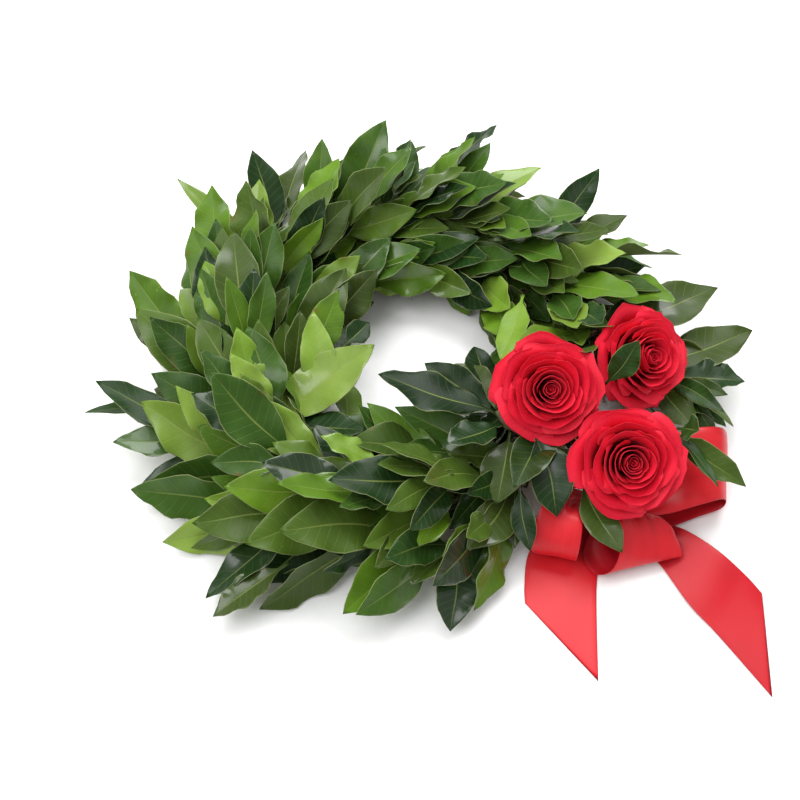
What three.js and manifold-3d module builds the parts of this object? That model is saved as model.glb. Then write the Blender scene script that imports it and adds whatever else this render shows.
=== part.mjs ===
// A laurel wreath that lies flat: leafy bunches bound clockwise round a straw ring with wire,
// three red roses on wired stems among larger laurel sprigs, and a red satin bow with two tails.
// Millimetres, +Z up. The ring lies on the surface, and the roses and the bow are at its front right.
import * as THREE from 'three';
import { mergeVertices } from 'three/addons/utils/BufferGeometryUtils.js';
import Module from 'manifold-3d';

const wasm = await Module();
wasm.setup();

// Driving dimensions of the straw ring and of its binding wire.
const RING_RADIUS = 90;
const RING_SECTION = 11;
const RING_SIDES = 8;
const PINCH_SECTION = 8.4;
const PINCH_FLAT_DEG = 1.7;
const PINCH_END_DEG = 3.3;
const WIRE_RADIUS = 0.7;
const START_TURN_DEG = 157.5;
const GAP = 0.35;
const SIMPLIFY_STEPS = [0.02, 0.035, 0.05, 0.07, 0.09];
const ROUNDING_GRIDS = [1e-3, 1e-4];

// Driving dimensions of the laurel bunches.
const TIES = 15;
const BUNCHES = 14;
const FIRST_TIE_DEG = -49;
const STEM_RADIUS = 2.3;
const STEM_TIP_RADIUS = 1.2;
const BUTT_LENGTH = 14;
const STEM_LAYER = 12.65;
const PETIOLE = 7;
const FIRST_LEAF = 8;
const LEAF_HALF_THICKNESS = 0.5;
const CLEAR_SWELL = 0.4;
const BENDS_DEG = [
  [0, 0], [6, 0], [-6, 0], [4, 9], [4, -9], [12, 0], [-12, 0], [12, 12], [12, -12],
  [18, 0], [-8, 14], [-8, -14],
  [24, 8], [24, -8], [31, 0], [16, 22], [16, -22], [38, 0],
];
const SHRINKS = [1, 0.84];
const STEM_CHANGES = [[0, 1], [6, 1], [12, 1], [-5, 0.85], [0, 0.72], [9, 0.72], [0, 0.5], [8, 0.5]];
const HOLE = { min: [-19, -15, -5], max: [31, 37, 120] };

// One rank of leaves per sprig of a bunch. Angles round the ring's section run from 0, outward,
// over 90, up, to 180, inward.
const RANKS = [
  {
    name: 'outer',
    butt: 80,
    spread: 17,
    reach: 54,
    rise: 24,
    leaves: 5,
    splay: 44,
    length: 65,
    arch: 0.14,
  },
  {
    name: 'top',
    butt: 90,
    spread: 80,
    reach: 50,
    rise: 23,
    leaves: 4,
    splay: 27,
    length: 60,
    arch: 0.06,
  },
  {
    name: 'inner',
    butt: 100,
    spread: 158,
    reach: 42,
    rise: 21,
    leaves: 3,
    splay: 33,
    length: 53,
    arch: 0.12,
  },
];

// Driving dimensions of the roses.
const PETALS = 13;
const PETAL_HALF_THICKNESS = 0.5;
const GOLDEN_DEG = 137.5;
const ROSE_WIRE_RADIUS = 1.6;

// Driving dimensions of the satin ribbon.
const RIBBON_HALF_THICKNESS = 0.4;

const UP = new THREE.Vector3(0, 0, 1);
const radians = THREE.MathUtils.degToRad;
const lerp = THREE.MathUtils.lerp;
const vector = (x, y, z) => new THREE.Vector3(x, y, z);

// Colours and finishes.
const finishes = {
  straw: new THREE.MeshStandardMaterial({ color: 0xb59a62, roughness: 0.9 }),
  wire: new THREE.MeshStandardMaterial({ color: 0x2f4a2c, roughness: 0.45, metalness: 0.6 }),
  laurel: new THREE.MeshStandardMaterial({ color: 0x3f6b24, roughness: 0.45 }),
  petal: new THREE.MeshStandardMaterial({ color: 0xc2101f, roughness: 0.7 }),
  calyx: new THREE.MeshStandardMaterial({ color: 0x4d7434, roughness: 0.6 }),
  satin: new THREE.MeshStandardMaterial({ color: 0xd8202c, roughness: 0.35 }),
};

// A repeatable stream of numbers from 0 to 1.
function seededRandom(seed) {
  let state = seed >>> 0;
  return () => {
    state = (state + 0x6d2b79f5) >>> 0;
    let t = Math.imul(state ^ (state >>> 15), state | 1);
    t ^= t + Math.imul(t ^ (t >>> 7), t | 61);
    return ((t ^ (t >>> 14)) >>> 0) / 4294967296;
  };
}

// Geometry and solids.
function meshGeometry(points, faces) {
  const geometry = new THREE.BufferGeometry();
  const numbers = points.flatMap((p) => [p.x, p.y, p.z]);
  geometry.setAttribute('position', new THREE.Float32BufferAttribute(numbers, 3));
  geometry.setIndex(faces.flat());
  return geometry;
}

function toSolid(geometry) {
  const bare = geometry.clone();
  bare.deleteAttribute('normal');
  bare.deleteAttribute('uv');
  const merged = mergeVertices(bare, 1e-4);
  const mesh = new wasm.Mesh({
    numProp: 3,
    vertProperties: new Float32Array(merged.attributes.position.array),
    triVerts: new Uint32Array(merged.index.array),
  });
  return new wasm.Manifold(mesh);
}

function toGeometry(solid) {
  const mesh = solid.getMesh();
  const geometry = new THREE.BufferGeometry();
  geometry.setAttribute('position', new THREE.BufferAttribute(mesh.vertProperties, 3));
  geometry.setIndex(new THREE.BufferAttribute(mesh.triVerts, 1));
  geometry.computeVertexNormals();
  return geometry;
}

function joined(solids) {
  return solids.reduce((whole, next) => whole.add(next));
}

// Whether every edge still joins two faces after the vertices are rounded to a grid.
function survivesRounding(solid, grid, phase) {
  const { vertProperties, triVerts } = solid.getMesh();
  const keys = [];
  for (let v = 0; v < vertProperties.length; v += 3) {
    keys.push([0, 1, 2].map((k) => Math.round(vertProperties[v + k] / grid + phase)).join(' '));
  }
  const edges = new Map();
  for (let t = 0; t < triVerts.length; t += 3) {
    const corners = [0, 1, 2].map((k) => keys[triVerts[t + k]]);
    if (new Set(corners).size < 3) continue;
    corners.forEach((from, k) => {
      const to = corners[(k + 1) % 3];
      const name = from < to ? `${from}|${to}` : `${to}|${from}`;
      edges.set(name, (edges.get(name) ?? 0) + 1);
    });
  }
  return [...edges.values()].every((count) => count === 2);
}

// The solid with its shortest edges closed up, as little as keeps it sound when it is stored.
function soundSolid(solid) {
  for (const tolerance of SIMPLIFY_STEPS) {
    const simple = solid.simplify(tolerance);
    const sound = (grid) => [0, 0.25, 0.5].every((phase) => survivesRounding(simple, grid, phase));
    if (ROUNDING_GRIDS.every(sound)) {
      return simple;
    }
  }
  return null;
}

// A closed body from rows of points: each row is a loop, joined to the next, with fans at both ends
// unless the rows close on themselves.
function loftGeometry(rows, closed = false) {
  const sides = rows[0].length;
  const faces = [];
  const count = closed ? rows.length : rows.length - 1;
  for (let r = 0; r < count; r++) {
    const low = r * sides;
    const high = ((r + 1) % rows.length) * sides;
    for (let k = 0; k < sides; k++) {
      const next = (k + 1) % sides;
      faces.push([low + k, low + next, high + next], [low + k, high + next, high + k]);
    }
  }
  if (!closed) {
    const last = (rows.length - 1) * sides;
    for (let k = 1; k < sides - 1; k++) faces.push([0, k + 1, k], [last, last + k, last + k + 1]);
  }
  return meshGeometry(rows.flat(), faces);
}

// A round rod along a list of points, with a radius at each point.
function rodGeometry(points, radii, sides) {
  const rows = [];
  let across = null;
  points.forEach((p, i) => {
    const before = points[Math.max(i - 1, 0)];
    const after = points[Math.min(i + 1, points.length - 1)];
    const along = after.clone().sub(before).normalize();
    if (!across) across = Math.abs(along.z) < 0.9 ? UP.clone().cross(along) : vector(1, 0, 0).cross(along);
    across = across.sub(along.clone().multiplyScalar(across.dot(along))).normalize();
    const other = along.clone().cross(across);
    rows.push(
      Array.from({ length: sides }, (_, k) => {
        const turn = ((k + 0.5) / sides) * Math.PI * 2;
        return p
          .clone()
          .addScaledVector(across, Math.cos(turn) * radii[i])
          .addScaledVector(other, Math.sin(turn) * radii[i]);
      }),
    );
  });
  return loftGeometry(rows);
}

// Places on the ring: an angle round it, a distance from its centre line and an angle round its section.
const ringHeight = RING_SECTION * Math.cos(Math.PI / RING_SIDES);

function ringFrame(degrees) {
  const angle = radians(degrees);
  const outward = vector(Math.cos(angle), Math.sin(angle), 0);
  return {
    centre: outward.clone().multiplyScalar(RING_RADIUS).setZ(ringHeight),
    outward,
    forward: vector(Math.sin(angle), -Math.cos(angle), 0),
  };
}

function sectionDirection(frame, phi) {
  const flat = frame.outward.clone().multiplyScalar(Math.cos(radians(phi)));
  return flat.addScaledVector(UP, Math.sin(radians(phi)));
}

function onRing(degrees, distance, phi) {
  const frame = ringFrame(degrees);
  return frame.centre.clone().addScaledVector(sectionDirection(frame, phi), distance);
}

const tieDegrees = (bunch) => FIRST_TIE_DEG - (bunch * 360) / TIES;
const arcDegrees = (length) => THREE.MathUtils.radToDeg(length / RING_RADIUS);

// The straw ring, flat underneath, squeezed narrower where each turn of wire bites into it.
function ringGeometry() {
  const rows = [];
  for (let bunch = 0; bunch < TIES; bunch++) {
    const stations = [
      [PINCH_END_DEG, RING_SECTION],
      [PINCH_FLAT_DEG, PINCH_SECTION],
      [-PINCH_FLAT_DEG, PINCH_SECTION],
      [-PINCH_END_DEG, RING_SECTION],
    ];
    for (const [offset, section] of stations) {
      rows.push(
        Array.from({ length: RING_SIDES }, (_, k) =>
          onRing(tieDegrees(bunch) + offset, section, ((k + 0.5) * 360) / RING_SIDES)),
      );
    }
  }
  return loftGeometry(rows, true);
}

// The binding wire: one turn over the stems at each tie, then along the ring's inner side to the next.
function wireGeometry() {
  const overStems = { 67.5: 17.1, 112.5: 17.1 };
  const pinchTurn = PINCH_SECTION + (GAP + WIRE_RADIUS) / Math.cos(Math.PI / RING_SIDES);
  const fullTurn = RING_SECTION + (GAP + WIRE_RADIUS) / Math.cos(Math.PI / RING_SIDES);
  const drift = arcDegrees(1.2);
  const points = [];
  for (let bunch = 0; bunch < TIES; bunch++) {
    const tie = tieDegrees(bunch);
    if (bunch > 0) points.push(onRing(tie + PINCH_END_DEG + 0.3, fullTurn, START_TURN_DEG));
    for (let k = 0; k <= RING_SIDES; k++) {
      const phi = START_TURN_DEG - (k * 360) / RING_SIDES;
      const share = k / RING_SIDES;
      points.push(onRing(tie + lerp(drift, -drift, share), overStems[phi] ?? pinchTurn, phi));
    }
    if (bunch < TIES - 1) points.push(onRing(tie - PINCH_END_DEG - 0.3, fullTurn, START_TURN_DEG));
  }
  return rodGeometry(points, points.map(() => WIRE_RADIUS), 3);
}

// A laurel leaf: a thin blade with a sharp rim, folded along its rib and arched, on a short petiole.
// Its root is sunk in the stem. A swell makes it fatter all round, to test what it would touch.
const BLADE_STATIONS = [
  [0, 0],
  [0.24, 0.76],
  [0.52, 1],
  [0.79, 0.66],
];

function leafGeometry(leaf, swell = 0, from = 0) {
  const across = leaf.along.clone().cross(leaf.normal).normalize();
  const blade = leaf.length - PETIOLE;
  const place = (side, y, z) =>
    leaf.root
      .clone()
      .addScaledVector(across, side)
      .addScaledVector(leaf.along, y)
      .addScaledVector(leaf.normal, z - leaf.arch * leaf.length * (y / leaf.length) ** 2);
  const stations = BLADE_STATIONS.map(([share, wide]) => {
    const y = Math.max(PETIOLE + share * blade, from);
    const half = Math.max((wide * leaf.width) / 2, 0.9) + swell;
    const thick = (share === 0 ? 0.8 : LEAF_HALF_THICKNESS) + swell;
    const raised = (half - swell) * Math.tan(radians(leaf.fold));
    return [place(-half, y, raised), place(0, y, thick), place(half, y, raised), place(0, y, -thick)];
  });
  const foot = place(0, from > 0 ? from - 0.5 : 0, 0);
  const points = [foot, ...stations.flat(), place(0, leaf.length + swell, 0)];
  const tip = points.length - 1;
  const faces = [];
  for (let k = 0; k < 4; k++) {
    const next = (k + 1) % 4;
    faces.push([0, 1 + next, 1 + k], [tip, tip - 4 + k, tip - 4 + next]);
    for (let r = 0; r < stations.length - 1; r++) {
      const a = 1 + r * 4 + k;
      const b = 1 + r * 4 + next;
      if (k % 2 === 0) faces.push([a, b, b + 4], [a, b + 4, a + 4]);
      else faces.push([a, b, a + 4], [b, b + 4, a + 4]);
    }
  }
  return meshGeometry(points, faces);
}

// What stands already, which later pieces keep clear of.
const standing = [];

function stand(name, solid) {
  standing.push({ name, solid, box: solid.boundingBox() });
}

function boxesMeet(a, b) {
  return [0, 1, 2].every((k) => a.min[k] <= b.max[k] && b.min[k] <= a.max[k]);
}

function isClear(solid, others) {
  const box = solid.boundingBox();
  return others.every((other) => !boxesMeet(box, other.box) || solid.intersect(other.solid).isEmpty());
}

// One more leaf on a sprig. It is bent up, down or sideways in steps until its blade is clear of what
// stands and of the sprig's other leaves, or is left out.
function growLeaf(leaf, own, whole) {
  for (const size of SHRINKS) {
    for (const [pitch, yaw] of BENDS_DEG) {
      const bent = bentLeaf(leaf, size, pitch, yaw);
      const blade = toSolid(leafGeometry(bent, CLEAR_SWELL, PETIOLE + 4));
      if (blade.boundingBox().min[2] < 0.3 || !isClear(blade, [...standing, ...own])) continue;
      if (!isClear(toSolid(leafGeometry(bent, CLEAR_SWELL)), standing)) continue;
      const grown = soundSolid(whole.add(toSolid(leafGeometry(bent))));
      if (!grown || grown.decompose().length > 1) continue;
      const core = toSolid(leafGeometry(bent, 0, PETIOLE + 4));
      own.push({ solid: core, box: core.boundingBox() });
      return grown;
    }
  }
  return null;
}

// A leaf made smaller by a share, raised by the pitch and turned sideways by the yaw.
function bentLeaf(leaf, size, pitch, yaw) {
  const across = leaf.along.clone().cross(leaf.normal).normalize();
  const pitched = leaf.along.clone().applyAxisAngle(across, radians(pitch));
  const along = pitched.applyAxisAngle(leaf.normal, radians(yaw));
  return {
    ...leaf,
    along,
    normal: leafNormal(along, leaf.normal, 0),
    length: leaf.length * size,
    width: leaf.width * size,
  };
}

// A leaf's upward direction, square to its length, leaning one way and rolled by degrees.
function leafNormal(along, lean, roll) {
  const normal = lean.clone().addScaledVector(along, -lean.dot(along)).normalize();
  return normal.applyAxisAngle(along, radians(roll));
}

// The point of a stem at a distance along it from its tie.
function alongStem(steps, stem, s) {
  const k = Math.min(Math.max(steps.findIndex((step) => step > s), 1), steps.length - 1);
  return stem[k - 1].clone().lerp(stem[k], (s - steps[k - 1]) / (steps[k] - steps[k - 1]));
}

// The sprigs of one bunch, each as a stem along the ring and its leaves.
function bunchSprig(bunch, r, [lowered, share]) {
  const tie = tieDegrees(bunch);
  const rank = { ...RANKS[r], reach: RANKS[r].reach * share };
  const random = seededRandom(1000 * bunch + 100 * r + 7);
  const jitter = (size) => (random() * 2 - 1) * size;
  const spread = rank.spread + jitter(7);
  const rise = Math.tan(radians(rank.rise + jitter(2) - lowered));
  const at = (s) => {
    const part = THREE.MathUtils.smoothstep(s, -4, 30);
    const distance = STEM_LAYER + Math.max(s - 3, 0) * rise;
    return onRing(tie - arcDegrees(s), distance, lerp(rank.butt, spread, part));
  };
  const steps = [-BUTT_LENGTH + jitter(2), 4, 20, rank.reach];
  const stem = steps.map(at);
  const leaves = Array.from({ length: rank.leaves }, (_, k) => {
    const last = k === rank.leaves - 1;
    const even = FIRST_LEAF + ((rank.reach - FIRST_LEAF - 3) * k) / (rank.leaves - 1);
    const s = last ? rank.reach - 1 : even;
    const side = last ? 0 : k % 2 === 0 ? 1 : -1;
    const frame = ringFrame(tie - arcDegrees(s));
    const phi = spread + side * (26 + jitter(9)) + jitter(7);
    const splay = radians(rank.splay + jitter(9) - (last ? 8 : 0));
    const outside = sectionDirection(frame, phi);
    const onward = frame.forward.clone().multiplyScalar(Math.cos(splay));
    const along = onward.addScaledVector(outside, Math.sin(splay)).normalize();
    const length = rank.length * (1 + jitter(0.12));
    const lean = outside.clone().multiplyScalar(0.8).addScaledVector(UP, 0.6);
    return {
      root: alongStem(steps, stem, s),
      along,
      normal: leafNormal(along, lean, jitter(16)),
      length,
      width: length * (0.4 + jitter(0.035)),
      fold: 12 + jitter(6),
      arch: rank.arch + jitter(0.07),
    };
  });
  return { name: rank.name, stem, leaves };
}

// A leaf from its root to its tip.
function leafBetween(root, tip, { width, roll, fold, arch }) {
  const straight = tip.clone().sub(root).normalize();
  const normal = leafNormal(straight, UP, roll);
  const along = straight.clone().addScaledVector(normal, arch).normalize();
  const length = root.distanceTo(tip);
  return { root, along, normal: leafNormal(along, normal, 0), length, width, fold, arch };
}

// The place on a stem nearest to a point, moved back from the stem's end.
function nearestOnStem(stem, point, back) {
  let near = null;
  for (let i = 2; i < stem.length; i++) {
    const place = new THREE.Line3(stem[i - 1], stem[i]).closestPointToPoint(point, true, vector(0, 0, 0));
    if (!near || place.distanceTo(point) < near.distanceTo(point)) near = place;
  }
  return near.addScaledVector(stem[stem.length - 2].clone().sub(stem[stem.length - 1]).normalize(), back);
}

// Leaves with a known place in a bunch: where each starts, its tip, its width and its shape.
const PLACED_LEAVES = [
  { bunch: 4, foot: [-69, -21, 30], tip: [-21, -6, 44], width: 26, roll: 12, fold: 8, arch: 0.04 },
  { bunch: 4, foot: [-66, -30, 28], tip: [-24, -59, 40], width: 24, roll: -14, fold: 10, arch: 0.06 },
  { bunch: 7, foot: [-48, 97, 32], tip: [-18, 144, 66], width: 24, roll: 20, fold: 10, arch: 0.04 },
  { bunch: 6, foot: [-122, 75, 24], tip: [-145, 113, 46], width: 14, roll: 8, fold: 14, arch: 0.05 },
  { bunch: 4, foot: [-110, -26, 28], tip: [-161, 11, 42], width: 24, roll: 6, fold: 12, arch: 0.08 },
  { bunch: 4, foot: [-137, -41, 18], tip: [-184, -39, 20], width: 13, roll: 10, fold: 12, arch: 0.06 },
  { bunch: 3, foot: [-117, -54, 18], tip: [-177, -25, 26], width: 20, roll: -8, fold: 12, arch: 0.08 },
  { bunch: 10, foot: [89, 92, 32], tip: [112, 120, 52], width: 19, roll: 12, fold: 12, arch: 0.06 },
  { bunch: 10, foot: [89, 86, 30], tip: [129, 95, 38], width: 21, roll: -8, fold: 12, arch: 0.1 },
  { bunch: 11, foot: [106, 68, 26], tip: [139, 65, 27], width: 17, roll: 6, fold: 14, arch: 0.12 },
  { bunch: 9, foot: [22, 108, 38], tip: [46, 136, 56], width: 18, roll: 10, fold: 12, arch: 0.06 },
  { bunch: 3, foot: [-114, -85, 16], tip: [-149, -84, 14], width: 20, roll: 6, fold: 12, arch: 0.1 },
  { bunch: 0, foot: [27, -122, 18], tip: [22, -160, 8], width: 22, roll: -6, fold: 12, arch: 0.12 },
  { bunch: 2, foot: [-63, -125, 16], tip: [-106, -145, 10], width: 22, roll: 8, fold: 12, arch: 0.1 },
  { bunch: 3, foot: [-128, -62, 20], tip: [-164, -60, 24], width: 18, roll: -4, fold: 10, arch: 0.06 },
  { bunch: 6, foot: [-93, 90, 30], tip: [-100, 133, 50], width: 22, roll: 14, fold: 12, arch: 0.06 },
  { bunch: 7, foot: [-70, 107, 30], tip: [-56, 142, 50], width: 19, roll: -10, fold: 12, arch: 0.08 },
  { bunch: 8, foot: [-9, 112, 30], tip: [-2, 146, 46], width: 18, roll: 8, fold: 12, arch: 0.06 },
  { bunch: 0, foot: [38, -58, 28], tip: [-9, -43, 38], width: 22, roll: -12, fold: 12, arch: 0.06 },
  { bunch: 1, foot: [20, -56, 28], tip: [-24, -42, 40], width: 22, roll: 8, fold: 12, arch: 0.06 },
  { bunch: 11, foot: [78, 72, 34], tip: [113, 78, 42], width: 18, roll: 10, fold: 12, arch: 0.08 },
];

// One bunch: the sprigs that find room, joined with their leaves into one closed body.
function growBunch(bunch) {
  const kept = [];
  RANKS.forEach((rank, r) => {
    for (const change of STEM_CHANGES) {
      const sprig = bunchSprig(bunch, r, change);
      const radii = sprig.stem.map((_, i) => lerp(STEM_RADIUS, STEM_TIP_RADIUS, i / (sprig.stem.length - 1)));
      const probe = toSolid(rodGeometry(sprig.stem, radii.map((radius) => radius + 0.25), 4));
      if (isClear(probe, standing)) {
        kept.push({ sprig, stem: toSolid(rodGeometry(sprig.stem, radii, 4)) });
        return;
      }
    }
  });
  if (!kept.length) return null;
  const own = [];
  let whole = joined(kept.map((k) => k.stem));
  const placed = PLACED_LEAVES.filter((leaf) => leaf.bunch === bunch).map((leaf) => {
    const foot = vector(...leaf.foot);
    const roots = kept.map(({ sprig }) => nearestOnStem(sprig.stem, foot, 1.5));
    roots.sort((a, b) => a.distanceTo(foot) - b.distanceTo(foot));
    return leafBetween(roots[0], vector(...leaf.tip), leaf);
  });
  for (const leaf of [...placed, ...kept.flatMap(({ sprig }) => sprig.leaves)]) {
    whole = growLeaf(leaf, own, whole) ?? whole;
  }
  return whole;
}

// The roses: the place of the neck under each bloom, the way it faces, and where its wired stem
// enters the ring.
const ROSES = [
  {
    name: 'rose_left',
    neck: vector(72, -37, 49),
    facing: vector(0.02, -0.54, 0.84),
    turn: 15,
    size: 1,
    entry: -31,
    phi: 84,
  },
  {
    name: 'rose_upper',
    neck: vector(118, -12, 42),
    facing: vector(0.42, -0.46, 0.78),
    turn: 130,
    size: 0.97,
    entry: -9,
    phi: 48,
  },
  {
    name: 'rose_lower',
    neck: vector(114, -71, 34),
    facing: vector(0.02, -0.56, 0.83),
    turn: 250,
    size: 1.04,
    entry: -34,
    phi: 25,
  },
];
const STEM_DEPTH = 9;

// One petal: a thin shield wrapped round the bloom's axis, with a sharp edge, opening at its rim.
const PETAL_ROWS = [0, 0.36, 0.72, 1];
const PETAL_COLUMNS = [-1, -0.36, 0.36, 1];

function petalGeometry(rose, k) {
  const random = seededRandom(900 + 40 * rose.turn + k);
  const share = k / (PETALS - 1);
  const azimuth = radians(rose.turn + GOLDEN_DEG * k);
  const belly = lerp(6.5, 25, share ** 0.85) * rose.size;
  const rim = lerp(5, 30.5, share) * rose.size * (1 + 0.03 * random());
  const height = (lerp(34, 25, share ** 2) + random()) * rose.size;
  const span = radians(lerp(76, 50, share));
  const radius = [lerp(2.5, 4.5, share), belly * 0.86, belly, rim];
  const spread = [0.6, 0.95, 1, 0.72];
  const outline = (r, c) => {
    const across = PETAL_COLUMNS[c];
    const angle = azimuth + across * span * spread[r];
    const droop = r === 3 ? 1 - 0.1 * across * across : 1;
    return vector(
      Math.cos(angle) * radius[r],
      Math.sin(angle) * radius[r],
      2 + (height - 2) * PETAL_ROWS[r] * droop,
    );
  };
  const grid = PETAL_ROWS.map((_, r) => PETAL_COLUMNS.map((_, c) => outline(r, c)));
  const points = [];
  const outside = [];
  const inside = [];
  grid.forEach((row, r) => {
    row.forEach((p, c) => {
      const edge = r === 0 || c === 0 || r === PETAL_ROWS.length - 1 || c === PETAL_COLUMNS.length - 1;
      if (edge) {
        outside.push(points.length);
        inside.push(points.length);
        points.push(p);
        return;
      }
      const up = grid[r + 1][c].clone().sub(grid[r - 1][c]);
      const side = grid[r][c + 1].clone().sub(grid[r][c - 1]);
      const out = side.cross(up).normalize().multiplyScalar(PETAL_HALF_THICKNESS);
      outside.push(points.length);
      points.push(p.clone().add(out));
      inside.push(points.length);
      points.push(p.clone().sub(out));
    });
  });
  const columns = PETAL_COLUMNS.length;
  const faces = [];
  for (let r = 0; r < PETAL_ROWS.length - 1; r++) {
    for (let c = 0; c < columns - 1; c++) {
      const quad = [r * columns + c, r * columns + c + 1, (r + 1) * columns + c + 1, (r + 1) * columns + c];
      const leans = (r + c) % 2 === 0;
      const split = leans ? [[0, 1, 2], [0, 2, 3]] : [[0, 1, 3], [1, 2, 3]];
      for (const [a, b, d] of split) {
        faces.push([outside[quad[a]], outside[quad[b]], outside[quad[d]]]);
        faces.push([inside[quad[a]], inside[quad[d]], inside[quad[b]]]);
      }
    }
  }
  return meshGeometry(points, faces);
}

// A turned body about the z axis from [radius, height] pairs.
function turned(profile, sides) {
  return loftGeometry(profile.map(([radius, height]) =>
    Array.from({ length: sides }, (_, k) => {
      const angle = (k / sides) * Math.PI * 2;
      return vector(Math.cos(angle) * radius, Math.sin(angle) * radius, height);
    })));
}

function facing(rose, geometry) {
  const turn = new THREE.Quaternion().setFromUnitVectors(UP, rose.facing.clone().normalize());
  return geometry.applyQuaternion(turn).translate(rose.neck.x, rose.neck.y, rose.neck.z);
}

function bloomSolid(rose) {
  const heart = turned([[5, 0], [9, 4], [8.5, 16], [6, 28], [3, 32]], 7);
  const parts = [toSolid(facing(rose, heart))];
  for (let k = 0; k < PETALS; k++) parts.push(toSolid(facing(rose, petalGeometry(rose, k))));
  return joined(parts);
}

// The plain hole in the ring that a stem stands in.
function entryHole(piece, radius) {
  const path = [
    onRing(piece.entry, RING_SECTION + 2, piece.phi),
    onRing(piece.entry, RING_SECTION - STEM_DEPTH - GAP, piece.phi),
  ];
  return toSolid(rodGeometry(path, path.map(() => radius + GAP + 0.1), 6));
}

// The green cup under a bloom and its wired stem, which ends in a plain hole in the ring.
function roseStem(rose) {
  const axis = rose.facing.clone().normalize();
  const cup = turned([[ROSE_WIRE_RADIUS, -9], [4.5, -6], [5.5, -GAP]], 8);
  const entry = onRing(rose.entry, RING_SECTION + 2, rose.phi);
  const end = onRing(rose.entry, RING_SECTION - STEM_DEPTH, rose.phi);
  const throat = rose.neck.clone().addScaledVector(axis, -8);
  const bend = throat.clone().lerp(entry, 0.45).addScaledVector(axis, -2);
  const path = [throat.clone().addScaledVector(axis, 3), throat, bend, entry, end];
  return {
    solid: toSolid(facing(rose, cup)).add(toSolid(rodGeometry(path, path.map(() => ROSE_WIRE_RADIUS), 6))),
    hole: entryHole(rose, ROSE_WIRE_RADIUS),
  };
}

// The satin bow: each strand is a list of its two edges' places, from the knot outward or back to it.
const KNOT = vector(109, -89, 11);
const STRANDS = {
  right_loop: [
    [108, -94, 12.5, 111, -83, 13],
    [134, -94, 24, 126, -60, 25],
    [157, -87, 31, 150, -51, 31],
    [171, -84, 30, 169, -48, 30],
    [177, -84, 19, 176, -47, 19],
    [174, -86, 9, 171, -50, 9],
    [160, -90, 5.2, 153, -54, 5.2],
    [136, -98, 5.2, 128, -63, 5.2],
    [109, -95, 9.5, 112, -84, 9],
  ],
  front_loop: [
    [105, -89, 14, 115, -91, 14.5],
    [101, -95, 24, 136, -98, 23],
    [104, -107, 26, 140, -109, 22],
    [109, -117, 18, 144, -116, 13],
    [109, -124, 9.5, 144, -119, 8.5],
    [104, -124, 5, 139, -114, 5.5],
    [98, -111, 4.2, 133, -103, 5],
    [104, -92, 9.8, 114, -93, 10],
  ],
  left_loop: [
    [104, -84, 13, 101, -92, 13],
    [82, -84, 25, 91, -96, 24],
    [71, -96, 31, 91, -107, 29],
    [65, -110, 25, 90, -117, 22],
    [65, -116, 14, 89, -121, 12],
    [70, -112, 7.6, 90, -115, 7],
    [86, -91, 7, 96, -103, 7],
    [104, -84, 10, 102, -92, 10],
  ],
  left_tail: [
    [101, -88, 8, 107, -94, 7.6],
    [77, -97, 3.5, 106, -108, 1],
    [65, -112, 1.6, 102, -122, 0.6],
    [62, -131, 0.5, 100, -139, 0.5],
    [62, -141, 0.5, 98, -183, 0.5],
  ],
  right_tail: [
    [114, -87, 7.4, 108, -94, 7.2],
    [139, -93, 2.4, 125, -110, 0.9],
    [151, -99, 5, 135, -117, 0.9],
    [166, -112, 8, 149, -141, 1.5],
    [180, -125, 5, 162, -157, 0.9],
    [188, -134, 2.4, 186, -190, 0.6],
  ],
};

// The wire that holds the bow: it runs from the back of the knot to a plain hole in the ring.
const BOW_PICK = { entry: -43.5, phi: -10 };

function bowPick(swell) {
  const path = [
    vector(107.5, -86.5, 11.5),
    vector(105.5, -77.5, 11),
    onRing(BOW_PICK.entry, RING_SECTION + 3, BOW_PICK.phi),
    onRing(BOW_PICK.entry, RING_SECTION - STEM_DEPTH, BOW_PICK.phi),
  ];
  return toSolid(rodGeometry(path, path.map(() => ROSE_WIRE_RADIUS + swell), 6));
}

function strandGeometry(rows) {
  const edges = rows.map((r) => [vector(r[0], r[1], r[2]), vector(r[3], r[4], r[5])]);
  const middles = edges.map(([a, b]) => a.clone().lerp(b, 0.5));
  const sections = edges.map(([a, b], i) => {
    const along = middles[Math.min(i + 1, rows.length - 1)].clone().sub(middles[Math.max(i - 1, 0)]);
    const out = along.cross(b.clone().sub(a)).normalize().multiplyScalar(RIBBON_HALF_THICKNESS);
    return [a.clone().sub(out), b.clone().sub(out), b.clone().add(out), a.clone().add(out)];
  });
  return loftGeometry(sections);
}

function bowSolid() {
  const knot = new THREE.IcosahedronGeometry(1, 1).scale(10, 9, 7).translate(KNOT.x, KNOT.y, KNOT.z);
  const bow = joined([toSolid(knot), ...Object.values(STRANDS).map((rows) => toSolid(strandGeometry(rows)))]);
  return bow.decompose().find((part) => part.volume() > 100);
}

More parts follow.
